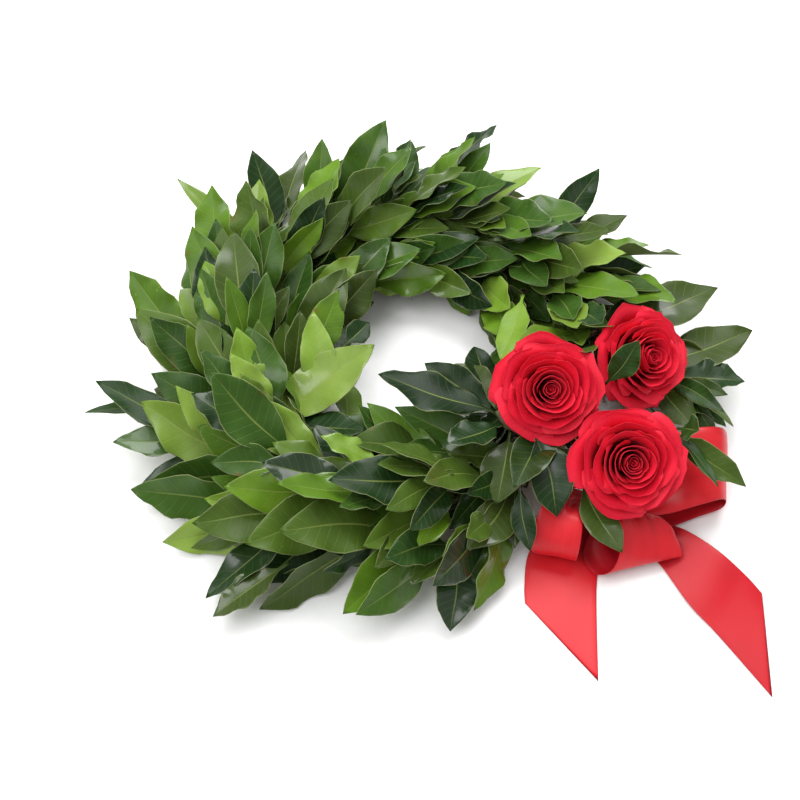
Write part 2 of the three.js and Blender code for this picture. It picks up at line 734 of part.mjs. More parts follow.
// The larger sprigs round the roses: a stem that leaves the ring, and each leaf's tip and width.
const COLLARS = [
  {
    name: 'rose_sprig_left',
    entry: -37,
    phi: 125,
    stem: [[60, -57, 35], [51, -57, 43], [46, -50, 47]],
    leaves: [
      { tip: [-18, -36, 60], width: 25, roll: 8, fold: 10, arch: 0.02 },
      { tip: [7, -22, 50], width: 20, roll: -14, fold: 14, arch: 0.06 },
      { tip: [19, -76, 56], width: 23, roll: 10, fold: 12, arch: 0.1 },
      { tip: [46, -99, 33], width: 25, roll: 4, fold: 16, arch: 0.08 },
    ],
  },
  {
    name: 'rose_sprig_front',
    entry: -41,
    phi: 60,
    stem: [[79, -66, 33], [75, -74, 38]],
    leaves: [
      { tip: [77, -106, 34], width: 27, roll: -6, fold: 14, arch: 0.1 },
      { tip: [60, -124, 20], width: 20, roll: 10, fold: 12, arch: 0.12 },
    ],
  },
  {
    name: 'rose_sprig_bow',
    entry: -39,
    phi: 8,
    stem: [[88, -76, 28], [90, -83, 32]],
    leaves: [
      { tip: [112, -119, 14], width: 21, roll: 14, fold: 10, arch: 0.06 },
    ],
  },
  {
    name: 'rose_sprig_back',
    entry: 6,
    phi: 62,
    stem: [[99, 8, 32], [104, 9, 40]],
    leaves: [
      { tip: [177, 40, 40], width: 30, roll: -6, fold: 10, arch: 0.06 },
      { tip: [54, -28, 74], width: 20, roll: 20, fold: 14, arch: 0.04 },
      { tip: [150, 30, 34], width: 24, roll: 10, fold: 14, arch: 0.12 },
    ],
  },
  {
    name: 'rose_sprig_right',
    entry: -13,
    phi: 10,
    stem: [[116, -15, 20], [134, -12, 27], [146, -16, 29]],
    leaves: [
      { tip: [196, 17, 30], width: 26, roll: 6, fold: 12, arch: 0.08 },
      { tip: [186, -22, 30], width: 22, roll: -12, fold: 18, arch: 0.1 },
      { tip: [172, -44, 36], width: 20, roll: 18, fold: 16, arch: 0.14 },
    ],
  },
  {
    name: 'rose_sprig_low',
    entry: -18,
    phi: 24,
    stem: [[112, -44, 31], [132, -52, 40], [142, -57, 42]],
    leaves: [
      { tip: [151, -66, 56], width: 22, roll: 10, fold: 12, arch: 0.04 },
      { tip: [178, -86, 33], width: 24, roll: 12, fold: 14, arch: 0.16 },
      { tip: [159, -94, 40], width: 16, roll: -20, fold: 14, arch: 0.1 },
    ],
  },
];

function collarSprig(collar) {
  const stem = [
    onRing(collar.entry, RING_SECTION - STEM_DEPTH, collar.phi),
    onRing(collar.entry, RING_SECTION + 3, collar.phi),
    ...collar.stem.map((p) => vector(...p)),
  ];
  const radii = stem.map((_, i) => lerp(2, 1.5, i / (stem.length - 1)));
  const solid = toSolid(rodGeometry(stem, radii, 5));
  const own = [];
  let whole = solid;
  collar.leaves.forEach((leaf, k) => {
    const tip = vector(...leaf.tip);
    const root = nearestOnStem(stem, tip, 1 + 3 * (k % 3));
    whole = growLeaf(leafBetween(root, tip, leaf), own, whole) ?? whole;
  });
  return whole;
}

const wreath = new THREE.Group();

function addNode(name, raw, material) {
  const solid = soundSolid(raw);
  if (!solid) throw new Error(`${name} doesn't close`);
  const mesh = new THREE.Mesh(toGeometry(solid), material);
  mesh.name = name;
  wreath.add(mesh);
  stand(name, solid);
}

const [holeLow, holeHigh] = [vector(...HOLE.min), vector(...HOLE.max)];
const holeSize = holeHigh.clone().sub(holeLow);
const keepOut = new THREE.BoxGeometry(holeSize.x, holeSize.y, holeSize.z);
const holeMiddle = holeLow.clone().lerp(holeHigh, 0.5);
stand('hole', toSolid(keepOut.translate(holeMiddle.x, holeMiddle.y, holeMiddle.z)));

const stems = ROSES.map((rose) => roseStem(rose));
const pick = bowPick(0);
const holes = [
  ...stems.map((stem) => stem.hole),
  ...COLLARS.map((collar) => entryHole(collar, 2)),
  entryHole(BOW_PICK, ROSE_WIRE_RADIUS),
];
const ring = holes.reduce((solid, hole) => solid.subtract(hole), toSolid(ringGeometry()));
addNode('straw_ring', ring, finishes.straw);
addNode('binding_wire', toSolid(wireGeometry()), finishes.wire);
ROSES.forEach((rose, k) => {
  addNode(rose.name, bloomSolid(rose), finishes.petal);
  addNode(`${rose.name}_stem`, stems[k].solid, finishes.calyx);
});
addNode('bow_pick', pick, finishes.wire);
addNode('ribbon_bow', bowSolid().subtract(bowPick(GAP)), finishes.satin);
for (const collar of COLLARS) addNode(collar.name, collarSprig(collar), finishes.laurel);

for (let bunch = BUNCHES - 1; bunch >= 0; bunch--) {
  const solid = growBunch(bunch);
  if (solid) addNode(`laurel_bunch_${String(bunch + 1).padStart(2, '0')}`, solid, finishes.laurel);
}
wreath.updateMatrixWorld(true);
const extent = new THREE.Box3().setFromObject(wreath);
const middle = extent.getCenter(vector(0, 0, 0));
const shift = [-middle.x, -middle.y, -extent.min.z].map((value) => Math.round(value * 1000) / 1000);
for (const mesh of wreath.children) mesh.geometry.translate(...shift);

export default wreath;
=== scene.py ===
"""A laurel wreath lying flat, with three red roses and a red satin bow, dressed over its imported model."""

import logging
import math
from collections.abc import Sequence
from dataclasses import dataclass, field, replace
from enum import Enum

import bpy
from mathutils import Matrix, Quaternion, Vector, noise
from mathutils.bvhtree import BVHTree
from mathutils.kdtree import KDTree


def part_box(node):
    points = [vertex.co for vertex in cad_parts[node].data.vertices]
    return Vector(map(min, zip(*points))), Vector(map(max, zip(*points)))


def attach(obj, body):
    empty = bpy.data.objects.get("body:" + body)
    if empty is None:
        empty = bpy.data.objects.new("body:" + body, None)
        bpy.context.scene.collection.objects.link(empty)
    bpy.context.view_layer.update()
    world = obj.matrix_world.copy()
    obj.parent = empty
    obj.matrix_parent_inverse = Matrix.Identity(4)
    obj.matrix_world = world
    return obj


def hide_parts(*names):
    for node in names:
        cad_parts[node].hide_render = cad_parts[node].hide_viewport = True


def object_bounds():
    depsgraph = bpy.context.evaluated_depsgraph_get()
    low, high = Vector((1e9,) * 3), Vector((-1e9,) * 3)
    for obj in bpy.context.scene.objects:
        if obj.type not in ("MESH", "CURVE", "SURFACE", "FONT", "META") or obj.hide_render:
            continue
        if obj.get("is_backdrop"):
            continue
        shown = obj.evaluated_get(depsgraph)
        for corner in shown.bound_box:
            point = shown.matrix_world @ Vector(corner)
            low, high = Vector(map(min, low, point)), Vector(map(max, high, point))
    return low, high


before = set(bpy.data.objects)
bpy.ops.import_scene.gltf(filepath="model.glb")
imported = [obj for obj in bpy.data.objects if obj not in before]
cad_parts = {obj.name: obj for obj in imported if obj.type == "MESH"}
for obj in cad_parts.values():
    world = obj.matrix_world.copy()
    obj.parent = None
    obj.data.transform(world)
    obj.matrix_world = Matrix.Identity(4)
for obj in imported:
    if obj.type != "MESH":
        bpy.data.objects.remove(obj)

LOG = logging.getLogger("laurel_wreath")
MM = 0.001
UP = Vector((0.0, 0.0, 1.0))
Face = tuple[int, ...]
Point = tuple[float, float, float]
Mark = tuple[float, float, float, float]
Grid = list[list[Vector]]


class Side(Enum):
    """The two faces of a leaf, petal or ribbon."""

    UPPER = 0.0
    UNDER = 1.0


class Rank(Enum):
    """Where on the ring's section a sprig of a bunch grows."""

    OUTER = 0
    TOP = 1
    INNER = 2


def lerp(a: float, b: float, share: float) -> float:
    """Return the value a share of the way from a to b."""
    return a + (b - a) * share


def smoothstep(x: float, low: float, high: float) -> float:
    """Return a smooth rise from 0 at low to 1 at high."""
    t = min(max((x - low) / (high - low), 0.0), 1.0)
    return t * t * (3 - 2 * t)


def curve_through(knots: Sequence[tuple[float, float]], x: float) -> float:
    """Read a smooth curve through knots.

    Args:
        knots: (place, value) pairs in rising order of place.
        x: the place to read at.

    Returns:
        The value there, with no overshoot between knots.
    """
    if x <= knots[0][0]:
        return knots[0][1]
    for (x0, y0), (x1, y1) in zip(knots, knots[1:]):
        if x <= x1:
            share = (x - x0) / (x1 - x0)
            return lerp(y0, y1, share * 0.6 + 0.4 * share * share * (3 - 2 * share))
    return knots[-1][1]


class SeededStream:
    """A repeatable stream of numbers from 0 to 1, the same as the solids were drawn with."""

    def __init__(self, seed: int) -> None:
        """Start the stream at a whole number."""
        self.state = seed & 0xFFFFFFFF

    def next(self) -> float:
        """Draw the next number.

        Returns:
            A number from 0 up to 1.
        """
        self.state = (self.state + 0x6D2B79F5) & 0xFFFFFFFF
        t = ((self.state ^ (self.state >> 15)) * (self.state | 1)) & 0xFFFFFFFF
        t ^= (t + (((t ^ (t >> 7)) * (t | 61)) & 0xFFFFFFFF)) & 0xFFFFFFFF
        return ((t ^ (t >> 14)) & 0xFFFFFFFF) / 4294967296

    def jitter(self, size: float) -> float:
        """Return a number from -size to size."""
        return (self.next() * 2 - 1) * size


class MeshBuilder:
    """Gathers points, faces, finishes and face-corner values, in millimetres about the ring's centre."""

    def __init__(self, name: str) -> None:
        """Start an empty mesh for a piece.

        Args:
            name: the piece's name.
        """
        self.name = name
        self.points: list[Point] = []
        self.faces: list[Face] = []
        self.slots: list[int] = []
        self.marks: list[list[Mark]] = []

    def add_face(self, corners: Face, slot: int, marks: list[Mark]) -> None:
        """Add one face.

        Args:
            corners: the numbers of its points.
            slot: the finish number.
            marks: one (across, along, tone, side) value for each corner.
        """
        self.faces.append(corners)
        self.slots.append(slot)
        self.marks.append(marks)

    def add_shell(self, top: Grid, under: Grid, marks: list[list[Point]], slot: int = 0) -> None:
        """Add a thin closed shell between two grids of points that share their rim.

        Args:
            top: rows of points of the upper face.
            under: rows of points of the lower face.
            marks: rows of (across, along, tone) values for the points.
            slot: the finish number.
        """
        rows, columns = len(top), len(top[0])
        ids: dict[tuple[int, int, int], int] = {}
        for r in range(rows):
            for c in range(columns):
                rim = r in (0, rows - 1) or c in (0, columns - 1)
                ids[(0, r, c)] = len(self.points)
                middle = (top[r][c] + under[r][c]) * 0.5 if rim else top[r][c]
                self.points.append(tuple(middle))
                if rim:
                    ids[(1, r, c)] = ids[(0, r, c)]
                else:
                    ids[(1, r, c)] = len(self.points)
                    self.points.append(tuple(under[r][c]))
        for r in range(rows - 1):
            for c in range(columns - 1):
                cells = [(r, c), (r, c + 1), (r + 1, c + 1), (r + 1, c)]
                for layer, side in ((0, Side.UPPER), (1, Side.UNDER)):
                    order = cells if layer == 0 else cells[::-1]
                    corners = tuple(ids[(layer, *cell)] for cell in order)
                    self.add_face(corners, slot, [(*marks[i][j], side.value) for i, j in order])

    def add_rod(self, path: list[Vector], radii: list[float], sides: int = 7, slot: int = 1,
                tone: float = 0.5) -> None:
        """Add a round closed rod along a path.

        Args:
            path: the points of its centre line.
            radii: its radius at each point.
            sides: how many sides its section has.
            slot: the finish number.
            tone: the value that its finish reads.
        """
        first = len(self.points)
        across = None
        for i, place in enumerate(path):
            along = (path[min(i + 1, len(path) - 1)] - path[max(i - 1, 0)]).normalized()
            if across is None:
                across = UP.cross(along) if abs(along.z) < 0.9 else Vector((1, 0, 0)).cross(along)
            across = (across - along * across.dot(along)).normalized()
            other = along.cross(across)
            for k in range(sides):
                turn = math.tau * k / sides
                ring = across * (math.cos(turn) * radii[i]) + other * (math.sin(turn) * radii[i])
                self.points.append(tuple(place + ring))
        for i in range(len(path) - 1):
            for k in range(sides):
                low, high = first + i * sides, first + (i + 1) * sides
                corners = (low + k, low + (k + 1) % sides, high + (k + 1) % sides, high + k)
                share = (i / (len(path) - 1), (i + 1) / (len(path) - 1))
                marks = [(0.5, share[0], tone, 0.0)] * 2 + [(0.5, share[1], tone, 0.0)] * 2
                self.add_face(corners, slot, marks)
        self.add_face(tuple(first + k for k in reversed(range(sides))), slot, [(0.5, 0.0, tone, 0.0)] * sides)
        last = first + (len(path) - 1) * sides
        self.add_face(tuple(last + k for k in range(sides)), slot, [(0.5, 1.0, tone, 0.0)] * sides)

    def build(self, centre: Vector, finishes: list[bpy.types.Material]) -> bpy.types.Object:
        """Make the object.

        Args:
            centre: the ring's centre in the frame, in metres.
            finishes: the materials, in the order of the finish numbers.

        Returns:
            The new object, linked into the scene.
        """
        mesh = bpy.data.meshes.new(self.name)
        place = [tuple(Vector(p) * MM + centre) for p in self.points]
        mesh.from_pydata(place, [], self.faces)
        for finish in finishes:
            mesh.materials.append(finish)
        mesh.polygons.foreach_set("material_index", self.slots)
        mesh.polygons.foreach_set("use_smooth", [True] * len(self.faces))
        layer = mesh.color_attributes.new("place", "FLOAT_COLOR", "CORNER")
        layer.data.foreach_set("color", [v for face in self.marks for mark in face for v in mark])
        mesh.update()
        piece = bpy.data.objects.new(self.name, mesh)
        bpy.context.scene.collection.objects.link(piece)
        return piece


class NodeTree:
    """A short way to write a material's node tree."""

    def __init__(self, name: str) -> None:
        """Make a new material with an empty principled tree.

        Args:
            name: the material's name.
        """
        self.material = bpy.data.materials.new(name)
        self.material.use_nodes = True
        self.nodes = self.material.node_tree.nodes
        self.links = self.material.node_tree.links
        self.shader = self.nodes["Principled BSDF"]

    def node(self, kind: str, **inputs: object) -> bpy.types.Node:
        """Add a node, with attributes by their names and inputs by in_ and their number.

        Args:
            kind: the node's type, such as ShaderNodeMath.
            **inputs: attribute values, or input values and links keyed in_0, in_1 and so on.

        Returns:
            The new node.
        """
        made = self.nodes.new(kind)
        for key, value in inputs.items():
            if not key.startswith("in_"):
                setattr(made, key, value)
        for key, value in inputs.items():
            if key.startswith("in_"):
                socket = made.inputs[int(key[3:])]
                if isinstance(value, bpy.types.NodeSocket):
                    self.links.new(value, socket)
                else:
                    socket.default_value = value
        return made

    def math(self, operation: str, a: object, b: object = 0.0, clamp: bool = False) -> bpy.types.NodeSocket:
        """Return the result of one arithmetic step."""
        return self.node("ShaderNodeMath", operation=operation, use_clamp=clamp, in_0=a, in_1=b).outputs[0]

    def step(self, value: object, low: float, high: float) -> bpy.types.NodeSocket:
        """Return a smooth rise of a value from 0 at low to 1 at high."""
        rise = {"interpolation_type": "SMOOTHSTEP", "in_0": value, "in_1": low, "in_2": high}
        return self.node("ShaderNodeMapRange", **rise).outputs[0]

    def mix(self, share: object, a: object, b: object) -> bpy.types.NodeSocket:
        """Mix two colours.

        Args:
            share: 0 for the first colour and 1 for the second.
            a: the first colour.
            b: the second colour.

        Returns:
            The mixed colour.
        """
        made = self.nodes.new("ShaderNodeMix")
        made.data_type = "RGBA"
        for socket, value in ((made.inputs[0], share), (made.inputs[6], a), (made.inputs[7], b)):
            if isinstance(value, bpy.types.NodeSocket):
                self.links.new(value, socket)
            else:
                socket.default_value = value if isinstance(value, float) else (*value, 1.0)
        return made.outputs[2]

    def ramp(self, value: object, stops: list[tuple[float, Point]]) -> bpy.types.NodeSocket:
        """Read a colour from a ramp.

        Args:
            value: the place to read at.
            stops: the (place, colour) stops in rising order.

        Returns:
            The colour there.
        """
        made = self.node("ShaderNodeValToRGB", in_0=value)
        line = made.color_ramp
        line.elements[0].position = stops[0][0]
        line.elements[0].color = (*stops[0][1], 1.0)
        line.elements[1].position = stops[-1][0]
        line.elements[1].color = (*stops[-1][1], 1.0)
        for place, colour in stops[1:-1]:
            line.elements.new(place).color = (*colour, 1.0)
        return made.outputs[0]

    def noise(self, scale: float, detail: float = 3.0, vector: object = None) -> bpy.types.NodeSocket:
        """Make a noise in object space.

        Args:
            scale: how many grains a metre has.
            detail: how many finer layers it has.
            vector: the place to read at, or None for the object's own.

        Returns:
            The noise value.
        """
        source = vector or self.node("ShaderNodeTexCoord").outputs["Object"]
        made = self.node("ShaderNodeTexNoise", in_0=source)
        made.inputs["Scale"].default_value = scale
        made.inputs["Detail"].default_value = detail
        return made.outputs["Fac"]

    def marks(self) -> tuple[bpy.types.NodeSocket, ...]:
        """Read the piece's across, along, tone and side values.

        Returns:
            The four values of the face corner.
        """
        source = self.node("ShaderNodeAttribute", attribute_name="place", attribute_type="GEOMETRY")
        split = self.node("ShaderNodeSeparateColor", in_0=source.outputs["Color"])
        return (*split.outputs[:3], source.outputs["Alpha"])

    def bump(self, height: object, strength: float, distance: float) -> None:
        """Set the shader's normal from a height.

        Args:
            height: the height value.
            strength: how strongly it shows.
            distance: how high 1 stands, in metres.
        """
        made = self.node("ShaderNodeBump")
        made.inputs["Strength"].default_value = strength
        made.inputs["Distance"].default_value = distance
        self.links.new(height, made.inputs["Height"])
        self.links.new(made.outputs[0], self.shader.inputs["Normal"])

    def set(self, **values: object) -> None:
        """Set or link the shader's inputs, with underscores for the spaces in their names."""
        for key, value in values.items():
            socket = self.shader.inputs[key.replace("_", " ")]
            if isinstance(value, bpy.types.NodeSocket):
                self.links.new(value, socket)
            elif isinstance(value, tuple):
                socket.default_value = (*value, 1.0)
            else:
                socket.default_value = value


@dataclass(frozen=True)
class LeafFinish:
    """Laurel leaf: dark to fresh green above, olive beneath, with a pale rib, side veins and margin."""

    deep: Point = (0.005, 0.015, 0.005)
    dark: Point = (0.011, 0.036, 0.006)
    middle: Point = (0.042, 0.100, 0.010)
    fresh: Point = (0.100, 0.200, 0.010)
    light: Point = (0.210, 0.320, 0.050)
    olive: Point = (0.090, 0.128, 0.017)
    under: Point = (0.120, 0.152, 0.048)
    rib: Point = (0.208, 0.264, 0.060)
    margin: Point = (0.256, 0.288, 0.120)
    brown: Point = (0.128, 0.060, 0.020)
    veins: float = 11.0

    def material(self) -> bpy.types.Material:
        """Make the leaf material.

        Returns:
            The leaf material.
        """
        tree = NodeTree("laurel_leaf")
        across, along, tone, side = tree.marks()
        spread = tree.math("ABSOLUTE", tree.math("MULTIPLY_ADD", across, 2.0))
        spread.node.inputs[0].links[0].from_node.inputs[2].default_value = -1.0
        cloudy = tree.noise(90.0, 4.0)
        fine = tree.noise(900.0, 2.0)
        toned = tree.math("ADD", tone, tree.math("MULTIPLY", tree.math("SUBTRACT", cloudy, 0.5), 0.22), True)
        green = tree.ramp(toned, [(0.0, self.deep), (0.25, self.dark), (0.52, self.middle),
                                  (0.78, self.fresh), (1.0, self.light)])
        aged = tree.step(tree.math("FRACT", tree.math("MULTIPLY", tone, 41.0)), 0.62, 0.70)
        body = tree.mix(tree.math("MULTIPLY", aged, 0.36), green, self.olive)
        slanted = tree.math("SUBTRACT", along, tree.math("MULTIPLY", spread, 0.13))
        wave = tree.math("SINE", tree.math("MULTIPLY", slanted, self.veins * math.tau))
        vein = tree.step(wave, 0.95, 1.0)
        faint = tree.math("MULTIPLY", vein, 0.13)
        veined = tree.mix(faint, body, self.rib)
        under = tree.mix(tree.math("MULTIPLY", tone, 0.6), self.under, self.light)
        turned = tree.mix(side, veined, under)
        rib = tree.math("MULTIPLY", tree.step(spread, 0.048, 0.018), tree.step(along, 1.25, 0.3))
        ribbed = tree.mix(tree.math("MULTIPLY", rib, 0.62), turned, self.rib)
        edge = tree.step(spread, 0.95, 0.985)
        edged = tree.mix(tree.math("MULTIPLY", edge, 0.7), ribbed, self.margin)
        old = tree.math("MULTIPLY", tree.step(cloudy, 0.66, 0.74), tree.step(spread, 0.45, 0.95))
        tree.set(Base_Color=tree.mix(tree.math("MULTIPLY", old, 0.55), edged, self.brown))
        rough = tree.math("MULTIPLY_ADD", cloudy, 0.30)
        rough.node.inputs[2].default_value = 0.20
        duller = tree.math("ADD", rough, tree.math("MULTIPLY", side, 0.25))
        tree.set(Roughness=duller, Specular_IOR_Level=0.18)
        patches = tree.step(tree.noise(26.0, 2.0), 0.52, 0.64)
        waxy = tree.math("MULTIPLY", patches, tree.math("SUBTRACT", 1.0, side))
        tree.set(Coat_Weight=tree.math("MULTIPLY", waxy, 0.75), Coat_Roughness=0.13)
        relief = tree.math("ADD", tree.math("MULTIPLY", vein, -0.5), tree.math("MULTIPLY", rib, -1.0))
        tree.bump(tree.math("ADD", relief, tree.math("MULTIPLY", fine, 0.25)), 0.35, 0.0005)
        return tree.material


@dataclass(frozen=True)
class BarkFinish:
    """Young laurel bark: green brown, with darker scars."""

    green: Point = (0.076, 0.102, 0.030)
    brown: Point = (0.072, 0.038, 0.019)

    def material(self) -> bpy.types.Material:
        """Make the bark material.

        Returns:
            The bark material.
        """
        tree = NodeTree("laurel_bark")
        cloudy = tree.noise(160.0, 5.0)
        tree.set(Base_Color=tree.mix(tree.step(cloudy, 0.4, 0.6), self.green, self.brown), Roughness=0.65)
        tree.bump(cloudy, 0.4, 0.0008)
        return tree.material


@dataclass(frozen=True)
class PetalFinish:
    """Rose petal: velvety red with a darker rim, and painted shade at its foot, on the heart's petals and
    underneath.
    """

    lit: Point = (0.760, 0.008, 0.034)
    # deep is the darkest red: the petals' own streaks, and painted shade at the foot, in the heart and
    # underneath
    deep: Point = (0.380, 0.003, 0.016)
    rim: Point = (0.600, 0.007, 0.032)

    def material(self) -> bpy.types.Material:
        """Make the petal material.

        Returns:
            The petal material.
        """
        tree = NodeTree("rose_petal")
        across, along, tone, side = tree.marks()
        cloudy = tree.noise(140.0, 4.0)
        grain = tree.node("ShaderNodeCombineXYZ", in_0=tree.math("MULTIPLY", across, 60.0),
                          in_1=tree.math("MULTIPLY", along, 5.0), in_2=tree.math("MULTIPLY", tone, 40.0))
        streak = tree.noise(1.0, 3.0, grain.outputs[0])
        # painted shade: each petal darkens towards its foot, deep inside the bloom
        grown = tree.mix(tree.step(along, 0.15, 0.8), self.deep, self.lit)
        streaked = tree.mix(tree.math("MULTIPLY", tree.step(streak, 0.45, 0.75), 0.22), grown, self.deep)
        rimmed = tree.mix(tree.math("MULTIPLY", tree.step(along, 0.97, 1.0), 0.4), streaked, self.rim)
        # painted shade in the heart: petals with a low tone darken towards the deep red
        heart_shaded = tree.mix(tree.math("MULTIPLY", tree.step(tone, 0.5, 0.0), 0.35), rimmed, self.deep)
        shaded = tree.mix(tree.math("MULTIPLY", side, 0.12), heart_shaded, self.deep)
        tree.set(Base_Color=shaded, Roughness=0.62, Specular_IOR_Level=0.30)
        tree.set(Sheen_Weight=0.12, Sheen_Roughness=0.4, Sheen_Tint=(1.0, 0.2, 0.25))
        tree.bump(tree.math("ADD", tree.math("MULTIPLY", streak, 0.8), cloudy), 0.25, 0.0006)
        return tree.material


@dataclass(frozen=True)
class SatinFinish:
    """Red satin ribbon: a soft sheen, a fine weave and corded edges, with painted shade underneath, in the
    gathers near the knot and in soft blotches.
    """

    lit: Point = (0.640, 0.013, 0.021)
    shade: Point = (0.340, 0.003, 0.011)
    threads: float = 9000.0

    def material(self) -> bpy.types.Material:
        """Make the ribbon material.

        Returns:
            The ribbon material.
        """
        tree = NodeTree("red_satin")
        across, along, tone, side = tree.marks()
        cloudy = tree.noise(45.0, 3.0)
        drawn = tree.node("ShaderNodeCombineXYZ", in_0=tree.math("MULTIPLY", across, 9.0),
                          in_1=tree.math("MULTIPLY", along, 14.0))
        streak = tree.noise(1.0, 2.0, drawn.outputs[0])
        weft = tree.math("SINE", tree.math("MULTIPLY", along, self.threads))
        warp = tree.math("SINE", tree.math("MULTIPLY", across, 320.0))
        weave = tree.math("MULTIPLY", weft, warp)
        # painted shade: the under face is mixed halfway to the shade red
        under_shaded = tree.mix(tree.math("MULTIPLY", side, 0.5), self.lit, self.shade)
        # painted shade in the gathers: dark streaks near the knot, mixed in below
        gathered = tree.math("MULTIPLY", tree.step(tone, 1.0, 0.1), tree.step(streak, 0.40, 0.62))
        # painted shade near the knot, a little stronger on the loops
        knot_shaded = tree.mix(tree.math("MULTIPLY", tree.step(tone, 0.9, 0.1), 0.45), under_shaded, self.shade)
        creased = tree.mix(tree.math("MULTIPLY", gathered, 0.6), knot_shaded, self.shade)
        # painted shade in soft cloudy blotches
        blotch_shaded = tree.mix(tree.math("MULTIPLY", tree.step(cloudy, 0.4, 0.7), 0.18), creased, self.shade)
        selvedge = tree.step(tree.math("ABSOLUTE", tree.math("SUBTRACT", across, 0.5)), 0.475, 0.485)
        tree.set(Base_Color=tree.mix(tree.math("MULTIPLY", selvedge, 0.12), blotch_shaded, self.shade))
        tree.set(Roughness=0.36, Specular_IOR_Level=0.30, Anisotropic=0.4, Sheen_Weight=0.03)
        tree.set(Sheen_Roughness=0.3, Sheen_Tint=(1.0, 0.55, 0.55))
        corded = tree.math("MULTIPLY", selvedge, 1.5)
        tree.bump(tree.math("ADD", tree.math("MULTIPLY", weave, 0.4), corded), 0.1, 0.0002)
        return tree.material


@dataclass(frozen=True)
class StrawFinish:
    """Bound straw: dry yellow and brown stalks that run along the ring."""

    pale: Point = (0.442, 0.332, 0.153)
    dark: Point = (0.162, 0.102, 0.041)

    def material(self, centre: Vector) -> bpy.types.Material:
        """Make the straw material.

        Args:
            centre: the ring's centre in the frame, in metres.

        Returns:
            The straw material.
        """
        tree = NodeTree("bound_straw")
        place = tree.node("ShaderNodeTexCoord").outputs["Object"]
        moved = tree.node("ShaderNodeVectorMath", operation="SUBTRACT", in_0=place, in_1=tuple(centre))
        split = tree.node("ShaderNodeSeparateXYZ", in_0=moved.outputs[0])
        flat = tree.node("ShaderNodeCombineXYZ", in_0=split.outputs[0], in_1=split.outputs[1])
        reach = tree.node("ShaderNodeVectorMath", operation="LENGTH", in_0=flat.outputs[0]).outputs["Value"]
        turn = tree.math("ARCTAN2", split.outputs[1], split.outputs[0])
        height = tree.math("MULTIPLY", split.outputs[2], 1500.0)
        stalk = tree.node("ShaderNodeCombineXYZ", in_0=tree.math("MULTIPLY", reach, 1500.0),
                          in_1=tree.math("MULTIPLY", turn, 5.0), in_2=height)
        grain = tree.noise(1.0, 4.0, stalk.outputs[0])
        tree.set(Base_Color=tree.mix(tree.step(grain, 0.36, 0.62), self.dark, self.pale), Roughness=0.75)
        tree.bump(grain, 0.8, 0.0015)
        return tree.material


@dataclass(frozen=True)
class PlainFinish:
    """A finish of one colour with a soft mottle, such as lacquered wire, stem tape or the floor."""

    name: str
    colour: Point
    mottle: Point
    roughness: float
    metallic: float = 0.0
    scale: float = 120.0

    def material(self) -> bpy.types.Material:
        """Make the material.

        Returns:
            The material.
        """
        tree = NodeTree(self.name)
        cloudy = tree.noise(self.scale, 4.0)
        tree.set(Base_Color=tree.mix(tree.step(cloudy, 0.4, 0.7), self.colour, self.mottle))
        tree.set(Roughness=self.roughness, Metallic=self.metallic)
        tree.bump(cloudy, 0.15, 0.0004)
        return tree.material


@dataclass(frozen=True)
class LeafForm:
    """One leaf's place and shape, in millimetres about the ring's centre."""

    root: Vector
    along: Vector
    normal: Vector
    length: float
    width: float
    fold: float
    arch: float
    tone: float = 0.5

    def tip(self) -> Vector:
        """Return the tip's place."""
        return self.root + self.along * self.length - self.normal * (self.arch * self.length)

    def toned(self, tone: float) -> "LeafForm":
        """Return the same leaf with a tone."""
        return replace(self, tone=tone)

    def bent(self, size: float, pitch: float, yaw: float) -> "LeafForm":
        """Make the leaf smaller and bend it.

        Args:
            size: the share of its length and width that is left.
            pitch: how far it is bent up, in degrees.
            yaw: how far it is bent sideways, in degrees.

        Returns:
            The bent leaf.
        """
        across = self.along.cross(self.normal).normalized()
        along = Quaternion(across, math.radians(pitch)) @ self.along
        along = Quaternion(self.normal, math.radians(yaw)) @ along
        return LeafForm(self.root, along, leaf_normal(along, self.normal, 0.0), self.length * size,
                        self.width * size, self.fold, self.arch, self.tone)


